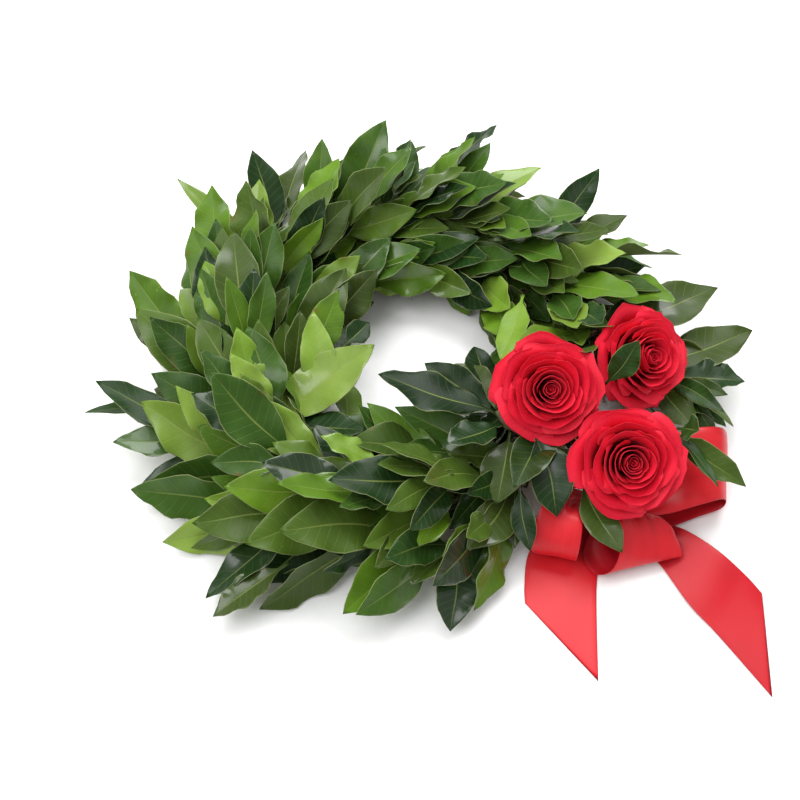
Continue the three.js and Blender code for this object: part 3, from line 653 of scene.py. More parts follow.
@dataclass
class Thicket:
    """The leaves that stand so far, as coarse sheets, for finding room for another in the wreath's box."""

    low: Vector
    high: Vector
    hole_low: Vector
    hole_high: Vector
    balls: tuple[tuple[Vector, float], ...] = ()
    stations: tuple[tuple[float, float], ...] = ((0.28, 0.7), (0.45, 1.0), (0.7, 0.85), (0.97, 0.1))
    standing: list[tuple[Vector, Vector, BVHTree]] = field(default_factory=list)

    def sheet(self, leaf: LeafForm) -> tuple[list[Vector], BVHTree]:
        """Make a leaf's coarse sheet, without the part near its stem.

        Args:
            leaf: the leaf.

        Returns:
            Its points, and the tree of the faces between them.
        """
        across = leaf.along.cross(leaf.normal).normalized()
        points = []
        for share, wide in self.stations:
            drop = leaf.arch * leaf.length * share ** 2
            base = leaf.root + leaf.along * (share * leaf.length) - leaf.normal * drop
            half = wide * leaf.width / 2
            raised = leaf.normal * (half * math.tan(math.radians(leaf.fold)))
            points += [base - across * half + raised, base, base + across * half + raised]
        faces = []
        for row in range(len(self.stations) - 1):
            for column in range(2):
                k = 3 * row + column
                faces.append((k, k + 1, k + 4, k + 3))
        return points, BVHTree.FromPolygons(points, faces)

    def box(self, points: list[Vector]) -> tuple[Vector, Vector]:
        """Find the box round points.

        Args:
            points: the points.

        Returns:
            The box's low and high corners.
        """
        low = Vector([min(p[axis] for p in points) for axis in range(3)])
        high = Vector([max(p[axis] for p in points) for axis in range(3)])
        return low, high

    def add(self, leaf: LeafForm) -> None:
        """Stand a leaf."""
        points, tree = self.sheet(leaf)
        self.standing.append((*self.box(points), tree))

    def add_solid(self, node: str, centre: Vector) -> None:
        """Stand a solid of the frame, whose place is given about the ring's centre in millimetres.

        Args:
            node: the solid's name.
            centre: the ring's centre in the frame, in metres.
        """
        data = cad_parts[node].data
        points = [(corner.co - centre) / MM for corner in data.vertices]
        faces = [tuple(face.vertices) for face in data.polygons]
        self.standing.append((*self.box(points), BVHTree.FromPolygons(points, faces)))

    def holds(self, leaf: LeafForm) -> bool:
        """Tell whether there is room for a leaf inside the wreath.

        Args:
            leaf: the leaf to try.

        Returns:
            True where it stays inside the box, off the roses and out of the hole.
        """
        points = self.sheet(leaf)[0]
        low, high = self.box(points)
        if any((point - middle).length < radius for point in points for middle, radius in self.balls):
            return False
        inside = all(low[k] > self.low[k] and high[k] < self.high[k] for k in range(3))
        tip = leaf.tip()
        in_hole = all(self.hole_low[k] < tip[k] < self.hole_high[k] for k in range(2))
        return inside and not in_hole

    def clashes(self, leaf: LeafForm) -> int:
        """Count what a leaf would cross.

        Args:
            leaf: the leaf to try.

        Returns:
            The number of standing leaves and solids that it crosses.
        """
        points, tree = self.sheet(leaf)
        low, high = self.box(points)
        count = 0
        for other_low, other_high, other in self.standing:
            near = all(low[k] < other_high[k] and high[k] > other_low[k] for k in range(3))
            if near and tree.overlap(other):
                count += 1
        return count


@dataclass(frozen=True)
class PlacedLeaf:
    """One leaf with a known place in a bunch: where it starts, its tip, its width, shape and tone.

    The bunches count from 0, so that bunch 0 is laurel_bunch_01.
    """

    bunch: int
    foot: Point
    tip: Point
    width: float
    roll: float
    fold: float
    arch: float
    tone: float


# Leaves that lie over the others and that only the dressed wreath has.
CROWNING_LEAVES: tuple[PlacedLeaf, ...] = (
    PlacedLeaf(3, (-77, -73, 42), (-117, -48, 57), 23, 14, 14, 0.10, 0.16),
    PlacedLeaf(1, (16, -76, 44), (-19, -103, 49), 24, -8, 8, 0.05, 0.74),
    PlacedLeaf(2, (-11, -88, 44), (-47, -74, 59), 17, 20, 12, 0.04, 0.86),
    PlacedLeaf(3, (-60, -86, 44), (-104, -86, 50), 17, -12, 16, 0.12, 0.40),
    PlacedLeaf(2, (-62, -128, 20), (-101, -156, 12), 18, 10, 12, 0.08, 0.14),
    PlacedLeaf(4, (-42, -2, 32), (-25, 19, 30), 14, 8, 12, 0.06, 0.15),
)
# Leaves that the solids have too, where each stands out by itself.
PLACED_LEAVES: tuple[PlacedLeaf, ...] = (
    PlacedLeaf(4, (-69, -21, 30), (-21, -6, 44), 31, 12, 8, 0.04, 0.95),
    PlacedLeaf(4, (-66, -30, 28), (-24, -59, 40), 24, -14, 10, 0.06, 0.18),
    PlacedLeaf(7, (-48, 97, 32), (-18, 144, 66), 29, 20, 10, 0.04, 0.52),
    PlacedLeaf(6, (-122, 75, 24), (-145, 113, 46), 14, 8, 14, 0.05, 0.85),
    PlacedLeaf(4, (-110, -26, 28), (-161, 11, 42), 24, 6, 12, 0.08, 0.12),
    PlacedLeaf(4, (-137, -41, 18), (-184, -39, 20), 13, 10, 12, 0.06, 0.30),
    PlacedLeaf(3, (-117, -54, 18), (-177, -25, 26), 20, -8, 12, 0.08, 0.22),
    PlacedLeaf(10, (89, 92, 32), (112, 120, 52), 19, 12, 12, 0.06, 0.20),
    PlacedLeaf(10, (89, 86, 30), (129, 95, 38), 21, -8, 12, 0.1, 0.12),
    PlacedLeaf(11, (106, 68, 26), (139, 65, 27), 17, 6, 14, 0.12, 0.25),
    PlacedLeaf(9, (22, 108, 38), (46, 136, 56), 18, 10, 12, 0.06, 0.50),
    PlacedLeaf(3, (-114, -85, 16), (-149, -84, 14), 20, 6, 12, 0.1, 0.15),
    PlacedLeaf(0, (27, -122, 18), (22, -160, 8), 22, -6, 12, 0.12, 0.15),
    PlacedLeaf(2, (-63, -125, 16), (-106, -145, 10), 22, 8, 12, 0.1, 0.20),
    PlacedLeaf(3, (-128, -62, 20), (-164, -60, 24), 18, -4, 10, 0.06, 0.45),
    PlacedLeaf(6, (-93, 90, 30), (-100, 133, 50), 22, 14, 12, 0.06, 0.20),
    PlacedLeaf(7, (-70, 107, 30), (-56, 142, 50), 19, -10, 12, 0.08, 0.55),
    PlacedLeaf(8, (-9, 112, 30), (-2, 146, 46), 18, 8, 12, 0.06, 0.40),
    PlacedLeaf(0, (38, -58, 28), (-9, -43, 38), 22, -12, 12, 0.06, 0.45),
    PlacedLeaf(1, (20, -56, 28), (-24, -42, 40), 22, 8, 12, 0.06, 0.60),
    PlacedLeaf(11, (78, 72, 34), (113, 78, 42), 18, 10, 12, 0.08, 0.55),
)


def leaf_between(root: Vector, tip: Vector, leaf: "PlacedLeaf | CollarLeaf | FreeLeaf") -> LeafForm:
    """Lay out a leaf from its root to its tip.

    Args:
        root: where the leaf starts.
        tip: where it ends.
        leaf: the table's row, with its width, roll, fold, arch and tone.

    Returns:
        The leaf.
    """
    straight = (tip - root).normalized()
    normal = leaf_normal(straight, UP, leaf.roll)
    along = (straight + normal * leaf.arch).normalized()
    return LeafForm(root, along, leaf_normal(along, normal, 0.0), (tip - root).length, leaf.width, leaf.fold,
                    leaf.arch, leaf.tone)


def nearest_on_stem(stem: list[Vector], point: Vector, back: float) -> Vector:
    """Find the place on a stem nearest to a point.

    Args:
        stem: the points of the stem.
        point: the point to come near.
        back: how far to move back from the stem's end, in millimetres.

    Returns:
        The place on the stem.
    """
    near = None
    for a, b in zip(stem[1:], stem[2:]):
        share = min(max((point - a).dot(b - a) / (b - a).length_squared, 0.0), 1.0)
        place = a.lerp(b, share)
        if near is None or (place - point).length < (near - point).length:
            near = place
    return near + (stem[-2] - stem[-1]).normalized() * back


def leaf_normal(along: Vector, lean: Vector, roll: float) -> Vector:
    """Return a leaf's upward direction, square to its length and rolled about it by degrees."""
    normal = (lean - along * lean.dot(along)).normalized()
    return Quaternion(along, math.radians(roll)) @ normal


@dataclass
class LeafBlade:
    """The fine blade of a leaf: a waved, folded, arched sheet on a short petiole."""

    petiole: float = 7.0
    thickness: float = 0.18
    rib_thickness: float = 0.55
    petiole_thickness: float = 0.6
    least_half_width: float = 0.75
    tip_half_width: float = 0.05
    floor_gap: float = 0.3
    outline: tuple[tuple[float, float], ...] = (
        (0.0, 0.06), (0.08, 0.30), (0.16, 0.56), (0.26, 0.80), (0.38, 0.95), (0.5, 1.0),
        (0.62, 0.94), (0.74, 0.76), (0.84, 0.52), (0.92, 0.27), (0.97, 0.10), (1.0, 0.0))
    columns: tuple[float, ...] = (
        -1.0, -0.965, -0.78, -0.5, -0.24, -0.06, 0.0, 0.06, 0.24, 0.5, 0.78, 0.965, 1.0)
    blade_rows: int = 17

    def add_to(self, mesh: MeshBuilder, leaf: LeafForm, seed: int) -> None:
        """Add the leaf to a mesh.

        Args:
            mesh: the mesh that takes the leaf.
            leaf: its place and shape.
            seed: the number that its waves are drawn from.
        """
        random = SeededStream(7919 * seed + 13)
        across = leaf.along.cross(leaf.normal).normalized()
        waves = 1.8 + random.next() * 1.6
        phases = (random.next() * math.tau, random.next() * math.tau)
        height = leaf.width * (0.030 + 0.070 * random.next())
        sickle = random.jitter(0.05) * leaf.length
        twist = math.radians(random.jitter(20))
        ragged = 0.03 + 0.09 * random.next()
        blade = leaf.length - self.petiole
        ys = [0.0, self.petiole * 0.5, self.petiole * 0.92]
        ys += [self.petiole + blade * (k / (self.blade_rows - 1)) for k in range(self.blade_rows)]
        top, under, marks = [], [], []
        for y in ys:
            v = max((y - self.petiole) / blade, 0.0)
            least = self.least_half_width if v < 0.9 else self.tip_half_width
            half = max(curve_through(self.outline, v) * leaf.width / 2, least)
            drop = leaf.arch * leaf.length * (y / leaf.length) ** 2
            swing = sickle * math.sin(math.pi * min(y / leaf.length, 1.0)) ** 2
            turn = twist * math.sin(math.pi * v)
            rows = ([], [], [])
            for u in self.columns:
                side = 0 if u < 0 else 1
                edge = abs(u) ** 2.2
                ends = min(v * 5, 1, (1 - v) * 5)
                wave = height * edge * math.sin(math.tau * waves * v + phases[side]) * ends
                raised = (abs(u) ** 1.25) * half * math.tan(math.radians(leaf.fold)) + wave
                jag = noise.noise(Vector((v * 7.0, 4.0 * side, phases[side] * 3)))
                x = u * half * (1 + ragged * jag * min(v * 6, 1))
                raised += math.sin(turn) * x
                ribbed = math.exp(-((u * half / 0.9) ** 2)) * (1 - 0.75 * v)
                core = self.rib_thickness if v > 0 else self.petiole_thickness
                thick = self.thickness + core * ribbed
                base = leaf.root + across * (x + swing) + leaf.along * y + leaf.normal * (raised - drop)
                base.z = max(base.z, thick + self.floor_gap)
                rows[0].append(base + leaf.normal * self.thickness)
                rows[1].append(base - leaf.normal * thick)
                rows[2].append((u / 2 + 0.5, v, leaf.tone))
            top.append(rows[0])
            under.append(rows[1])
            marks.append(rows[2])
        mesh.add_shell(top, under, marks)


@dataclass
class RingPlan:
    """The straw ring's sizes in millimetres, and places round it, the same as in the solids."""

    radius: float = 90.0
    section: float = 11.0
    sides: int = 8
    ties: int = 15
    first_tie: float = -49.0
    pinch: float = 3.3
    stem_layer: float = 12.65
    stem_depth: float = 9.0

    def height(self) -> float:
        """Return the height of the ring's centre line."""
        return self.section * math.cos(math.pi / self.sides)

    def outward(self, degrees: float) -> Vector:
        """Return the flat direction away from the ring's centre at an angle."""
        return Vector((math.cos(math.radians(degrees)), math.sin(math.radians(degrees)), 0.0))

    def forward(self, degrees: float) -> Vector:
        """Return the direction in which the laurel grows round the ring."""
        return Vector((math.sin(math.radians(degrees)), -math.cos(math.radians(degrees)), 0.0))

    def section_direction(self, degrees: float, phi: float) -> Vector:
        """Return a direction in the ring's section: 0 is outward and 90 is up."""
        return self.outward(degrees) * math.cos(math.radians(phi)) + UP * math.sin(math.radians(phi))

    def at(self, degrees: float, distance: float, phi: float) -> Vector:
        """Return the place at an angle round the ring, off its centre line at a section angle."""
        centre = self.outward(degrees) * self.radius + UP * self.height()
        return centre + self.section_direction(degrees, phi) * distance

    def tie(self, bunch: int) -> float:
        """Return the angle of a bunch's tie."""
        return self.first_tie - bunch * 360 / self.ties

    def arc(self, length: float) -> float:
        """Return the angle that a length along the ring takes up."""
        return math.degrees(length / self.radius)

    def box_middle(self) -> Vector:
        """Find the middle of the ring's box, which isn't quite its centre.

        The ring is drawn in at its ties, an odd number of them, so it is widest beside them.

        Returns:
            The middle's flat place about the centre, to a ten thousandth of a millimetre.
        """
        reach = self.radius + self.section * math.cos(math.pi / self.sides)
        turns = [self.tie(bunch) + side * self.pinch for bunch in range(self.ties) for side in (-1, 1)]
        rim = [self.outward(turn) * reach for turn in turns]
        middle = [(min(p[axis] for p in rim) + max(p[axis] for p in rim)) / 2 for axis in range(2)]
        return Vector((round(middle[0], 4), round(middle[1], 4), 0.0))


@dataclass(frozen=True)
class RankPlan:
    """One sprig of a bunch: where it starts and leans, its reach and rise, and its leaves."""

    butt: float
    spread: float
    reach: float
    rise: float
    leaves: int
    splay: float
    length: float
    arch: float


RANKS: dict[Rank, RankPlan] = {
    Rank.OUTER: RankPlan(80, 17, 54, 24, 5, 44, 65, 0.14),
    Rank.TOP: RankPlan(90, 80, 50, 23, 4, 27, 60, 0.06),
    Rank.INNER: RankPlan(100, 158, 42, 21, 3, 33, 53, 0.12),
}
# How a leaf of the solids may be bent clear of its neighbours: up and sideways, in degrees.
BENDS: tuple[tuple[float, float], ...] = (
    (0, 0), (6, 0), (-6, 0), (4, 9), (4, -9), (12, 0), (-12, 0), (12, 12), (12, -12),
    (18, 0), (-8, 14), (-8, -14), (24, 8), (24, -8), (31, 0), (16, 22), (16, -22), (38, 0),
)
# The share of its size that a bent leaf keeps.
SHRINKS: tuple[float, ...] = (1.0, 0.84)
# How a stem of the solids may be laid clear: degrees off its rise, and the share of its reach.
STEM_CHANGES: tuple[tuple[float, float], ...] = (
    (0, 1), (6, 1), (12, 1), (-5, 0.85), (0, 0.72), (9, 0.72), (0, 0.5), (8, 0.5),
)


@dataclass
class Setting:
    """What every sub-assembly is built with: the ring's plan, its centre in the frame, and the finishes."""

    ring: RingPlan
    centre: Vector
    leaf: bpy.types.Material
    bark: bpy.types.Material
    petal: bpy.types.Material
    tape: bpy.types.Material
    satin: bpy.types.Material
    wire: bpy.types.Material
    straw: bpy.types.Material
    blade: LeafBlade = field(default_factory=LeafBlade)
    seating_gap: float = 0.12

    def corners_of(self, node: str) -> KDTree:
        """Make a search tree of a solid's corners.

        Args:
            node: the solid's name.

        Returns:
            The tree, in millimetres about the ring's centre.
        """
        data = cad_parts[node].data
        tree = KDTree(len(data.vertices))
        for corner in data.vertices:
            tree.insert((corner.co - self.centre) / MM, corner.index)
        tree.balance()
        return tree

    def seat(self, leaf: LeafForm, corners: KDTree) -> LeafForm | None:
        """Find how a leaf was bent in the solids.

        Args:
            leaf: the leaf before it was bent.
            corners: the corners of the solid that holds it.

        Returns:
            The bent leaf whose tip is a corner of the solid, or None where the leaf was left out.
        """
        best, nearest = None, self.seating_gap
        for size in SHRINKS:
            for pitch, yaw in BENDS:
                bent = leaf.bent(size, pitch, yaw)
                gap = corners.find(bent.tip())[2]
                if gap < nearest:
                    best, nearest = bent, gap
        return best


@dataclass
class LaurelBunch:
    """One bunch of three leafy sprigs, tied on the ring under a turn of wire."""

    number: int
    setting: Setting
    stem_radius: float = 2.0
    tip_radius: float = 0.9
    butt_length: float = 14.0
    first_leaf: float = 8.0
    seat_back: float = 1.5
    filler_length: float = 49.0
    filler_length_change: float = 11.0
    filler_spread: float = 62.0
    filler_splay: float = 24.0
    filler_roll: float = 42.0
    tries: int = 26
    touches: int = 1
    fillers: dict[Rank, int] = field(default_factory=lambda: {Rank.OUTER: 9, Rank.TOP: 9, Rank.INNER: 7})
    old_share: float = 0.74
    roses_at: Vector = field(default_factory=lambda: Vector((72, -62, 45)))
    rose_shade: tuple[float, float] = (62.0, 34.0)

    def __post_init__(self) -> None:
        """Start with no stems or leaves."""
        self.stems: list[list[Vector]] = []
        self.leaves: list[LeafForm] = []
        self.grown: list[tuple[Rank, tuple[float, float], list[Vector]]] = []
        self.tones = SeededStream(5000 + self.number)

    def sprig(self, rank: Rank, change: tuple[float, float]) -> tuple[list[Vector], list[LeafForm]]:
        """Lay out one sprig as the solids do.

        Args:
            rank: which sprig of the bunch.
            change: how much its rise was lowered, and the share of its reach.

        Returns:
            The points of its stem, and its leaves before they are bent clear.
        """
        plan, ring = RANKS[rank], self.setting.ring
        reach = plan.reach * change[1]
        tie = ring.tie(self.number)
        random = SeededStream(1000 * self.number + 100 * rank.value + 7)
        spread = plan.spread + random.jitter(7)
        rise = math.tan(math.radians(plan.rise + random.jitter(2) - change[0]))

        def at(s: float) -> Vector:
            """Find the stem's place.

            Args:
                s: the distance from the tie.

            Returns:
                The place there.
            """
            part = smoothstep(s, -4, 30)
            distance = ring.stem_layer + max(s - 3, 0) * rise
            return ring.at(tie - ring.arc(s), distance, lerp(plan.butt, spread, part))

        steps = [-self.butt_length + random.jitter(2), 4, 20, reach]
        stem = [at(s) for s in steps]
        leaves = []
        for k in range(plan.leaves):
            last = k == plan.leaves - 1
            s = reach - 1 if last else self.first_leaf + (reach - self.first_leaf - 3) * k / (plan.leaves - 1)
            side = 0 if last else (1 if k % 2 == 0 else -1)
            degrees = tie - ring.arc(s)
            phi = spread + side * (26 + random.jitter(9))
            phi += random.jitter(7)
            splay = math.radians(plan.splay + random.jitter(9) - (8 if last else 0))
            outside = ring.section_direction(degrees, phi)
            along = (ring.forward(degrees) * math.cos(splay) + outside * math.sin(splay)).normalized()
            length = plan.length * (1 + random.jitter(0.12))
            normal = leaf_normal(along, outside * 0.8 + UP * 0.6, random.jitter(16))
            width = length * (0.4 + random.jitter(0.035))
            fold = 12 + random.jitter(6)
            arch = plan.arch + random.jitter(0.07)
            leaves.append(LeafForm(self.on_stem(steps, stem, s), along, normal, length, width, fold, arch))
        return stem, leaves

    def on_stem(self, steps: list[float], stem: list[Vector], s: float) -> Vector:
        """Find the stem's place at a distance along it from the tie.

        Args:
            steps: the distances of the stem's points from the tie.
            stem: the stem's points.
            s: the distance to read at.

        Returns:
            The place on the stem.
        """
        after = next((i for i, step in enumerate(steps) if step > s), -1)
        k = min(max(after, 1), len(steps) - 1)
        return stem[k - 1].lerp(stem[k], (s - steps[k - 1]) / (steps[k] - steps[k - 1]))

    def node(self) -> str:
        """Return the name of the solid that the bunch stands for."""
        return f"laurel_bunch_{self.number + 1:02d}"

    def plan(self, thicket: Thicket) -> None:
        """Lay out the sprigs and leaves of the solids, and stand the leaves in the thicket.

        Args:
            thicket: the leaves that stand so far.
        """
        corners = self.setting.corners_of(self.node())
        for rank in Rank:
            choices = []
            for change in STEM_CHANGES:
                stem, leaves = self.sprig(rank, change)
                seated = [self.setting.seat(leaf, corners) for leaf in leaves]
                choices.append((sum(leaf is not None for leaf in seated), stem, seated, change))
            count, stem, seated, change = max(choices, key=lambda choice: choice[0])
            if not count:
                continue
            self.stems.append(stem)
            for leaf in filter(None, seated):
                self.leaves.append(leaf.toned(self.tone(rank, leaf)))
                thicket.add(self.leaves[-1])
            self.grown.append((rank, change, stem))
        for row in PLACED_LEAVES:
            if row.bunch == self.number:
                self.place(row, corners, thicket)
        for row in CROWNING_LEAVES:
            if row.bunch == self.number:
                self.leaves.append(leaf_between(Vector(row.foot), Vector(row.tip), row))
                thicket.add(self.leaves[-1])

    def place(self, row: PlacedLeaf, corners: KDTree, thicket: Thicket) -> None:
        """Add one leaf with a known place, if the solids have it.

        Args:
            row: the leaf's row in the table.
            corners: the corners of the bunch's solid.
            thicket: the leaves that stand so far.
        """
        foot = Vector(row.foot)
        roots = [nearest_on_stem(stem, foot, self.seat_back) for stem in self.stems]
        for root in roots:
            seated = self.setting.seat(leaf_between(root, Vector(row.tip), row), corners)
            if seated is not None:
                self.leaves.append(seated)
                thicket.add(seated)
                return
        LOG.info("bunch %d: the leaf to %s isn't in the solids", self.number, row.tip)

    def fill(self, thicket: Thicket) -> None:
        """Grow smaller leaves between the others wherever there is room for one.

        Args:
            thicket: the leaves that stand so far.
        """
        ring = self.setting.ring
        tie = ring.tie(self.number)
        for rank, change, stem in self.grown:
            plan = RANKS[rank]
            reach = plan.reach * change[1]
            steps = [-self.butt_length, 4, 20, reach]
            for k in range(self.fillers[rank]):
                choices = []
                for _ in range(self.tries):
                    s = lerp(2, reach - 6, self.tones.next())
                    degrees = tie - ring.arc(s)
                    phi = plan.spread + self.tones.jitter(self.filler_spread)
                    splay = math.radians(plan.splay - 4 + self.tones.jitter(self.filler_splay))
                    outside = ring.section_direction(degrees, phi)
                    along = (ring.forward(degrees) * math.cos(splay) + outside * math.sin(splay)).normalized()
                    length = self.filler_length + self.tones.jitter(self.filler_length_change)
                    normal = leaf_normal(along, outside * 0.8 + UP * 0.6, self.tones.jitter(self.filler_roll))
                    leaf = LeafForm(self.on_stem(steps, stem, s), along, normal, length,
                                    length * (0.35 + self.tones.jitter(0.05)),
                                    12 + self.tones.jitter(7), plan.arch + self.tones.jitter(0.08))
                    if thicket.holds(leaf):
                        choices.append((thicket.clashes(leaf), leaf))
                    if choices and choices[-1][0] == 0:
                        break
                if choices:
                    crossed, leaf = min(choices, key=lambda choice: choice[0])
                    if crossed <= self.touches:
                        self.leaves.append(leaf.toned(self.tone(rank, leaf)))
                        thicket.add(self.leaves[-1])

    def build(self) -> bpy.types.Object:
        """Build the bunch.

        Returns:
            The bunch's piece.
        """
        mesh = MeshBuilder(f"bunch_{self.number + 1:02d}_leaves")
        for stem in self.stems:
            self.add_stem(mesh, stem)
        for k, leaf in enumerate(self.leaves):
            self.setting.blade.add_to(mesh, leaf, 100 * self.number + k)
        piece = mesh.build(self.setting.centre, [self.setting.leaf, self.setting.bark])
        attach(piece, "root")
        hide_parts(self.node())
        return piece

    def tone(self, rank: Rank, leaf: LeafForm) -> float:
        """Draw a leaf's tone, with painted shade that darkens it beside the roses.

        Args:
            rank: which sprig of the bunch the leaf grows on.
            leaf: the leaf.

        Returns:
            The tone, from 0 for the darkest to 1 for the palest.
        """
        young = 0.30 if rank is Rank.OUTER else 0.22
        drawn = 0.10 + 0.62 * self.tones.next()
        drawn += young if self.tones.next() > self.old_share else 0.0
        far, close = self.rose_shade
        near = smoothstep((leaf.root.lerp(leaf.tip(), 0.5) - self.roses_at).length, far, close)
        return min(drawn, 1.0) * (1 - 0.7 * near)

    def add_stem(self, mesh: MeshBuilder, stem: list[Vector]) -> None:
        """Add the woody stem, rounded off between the solids' points.

        Args:
            mesh: the mesh that takes it.
            stem: its points in the solids.
        """
        smooth = [stem[0]]
        for a, b in zip(stem, stem[1:]):
            smooth += [a.lerp(b, 0.25), a.lerp(b, 0.75)]
        smooth.append(stem[-1])
        count = len(smooth) - 1
        mesh.add_rod(smooth, [lerp(self.stem_radius, self.tip_radius, i / count) for i in range(count + 1)])


@dataclass(frozen=True)
class CollarLeaf:
    """One larger leaf beside the roses, by its tip's place and its width."""

    tip: Point
    width: float
    roll: float
    fold: float
    arch: float
    tone: float
    start: Point | None = None


@dataclass(frozen=True)
class FreeLeaf:
    """One small leaf that only the dressed wreath has, from its foot to its tip."""

    foot: Point
    tip: Point
    width: float
    roll: float
    fold: float
    arch: float
    tone: float


@dataclass
class CollarSprig:
    """A sprig of larger leaves beside the roses, whose stem stands in a hole of the ring."""

    name: str
    entry: float
    phi: float
    stem: list[Point]
    leaves: list[CollarLeaf]
    setting: Setting
    extras: list[FreeLeaf] = field(default_factory=list)
    foot_radius: float = 2.0
    end_radius: float = 1.3
    first_seed: int = 3000

    def __post_init__(self) -> None:
        """Start with no leaves."""
        self.seated: list[LeafForm] = []

    def path(self) -> list[Vector]:
        """Lay out the stem.

        Returns:
            The points, from inside the ring to the stem's end.
        """
        ring = self.setting.ring
        start = [ring.at(self.entry, ring.section - ring.stem_depth, self.phi),
                 ring.at(self.entry, ring.section + 3, self.phi)]
        return start + [Vector(p) for p in self.stem]

    def form(self, leaf: CollarLeaf, number: int, stem: list[Vector]) -> LeafForm:
        """Lay out a leaf as the solids do, from its tip back to the nearest place on the stem."""
        tip = Vector(leaf.tip)
        return leaf_between(nearest_on_stem(stem, tip, 1 + 3 * (number % 3)), tip, leaf)

    def plan(self, thicket: Thicket) -> None:
        """Find how the leaves stand in the solids, and stand them in the thicket.

        Args:
            thicket: the leaves that stand so far.
        """
        corners = self.setting.corners_of(self.name)
        stem = self.path()
        for number, leaf in enumerate(self.leaves):
            seated = self.setting.seat(self.form(leaf, number, stem), corners)
            if seated is None:
                LOG.info("%s: leaf %d isn't in the solids", self.name, number)
                continue
            if leaf.start is not None:
                seated = leaf_between(Vector(leaf.start), seated.tip(), leaf)
            self.seated.append(seated)
            thicket.add(seated)
        for extra in self.extras:
            self.seated.append(leaf_between(Vector(extra.foot), Vector(extra.tip), extra))
            thicket.add(self.seated[-1])

    def build(self) -> bpy.types.Object:
        """Build the sprig.

        Returns:
            The sprig's piece.
        """
        mesh = MeshBuilder(f"{self.name}_leaves")
        stem = self.path()
        last = len(stem) - 1
        mesh.add_rod(stem, [lerp(self.foot_radius, self.end_radius, i / last) for i in range(last + 1)])
        for number, leaf in enumerate(self.seated):
            self.setting.blade.add_to(mesh, leaf, self.first_seed + 10 * int(self.entry + 50) + number)
        piece = mesh.build(self.setting.centre, [self.setting.leaf, self.setting.bark])
        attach(piece, "root")
        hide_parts(self.name)
        return piece


@dataclass(frozen=True)
class PetalLayer:
    """One turn of petals: how many, their rim's radius and height, their half width and their flare."""

    petals: int
    radius: float
    height: float
    span: float
    flare: float


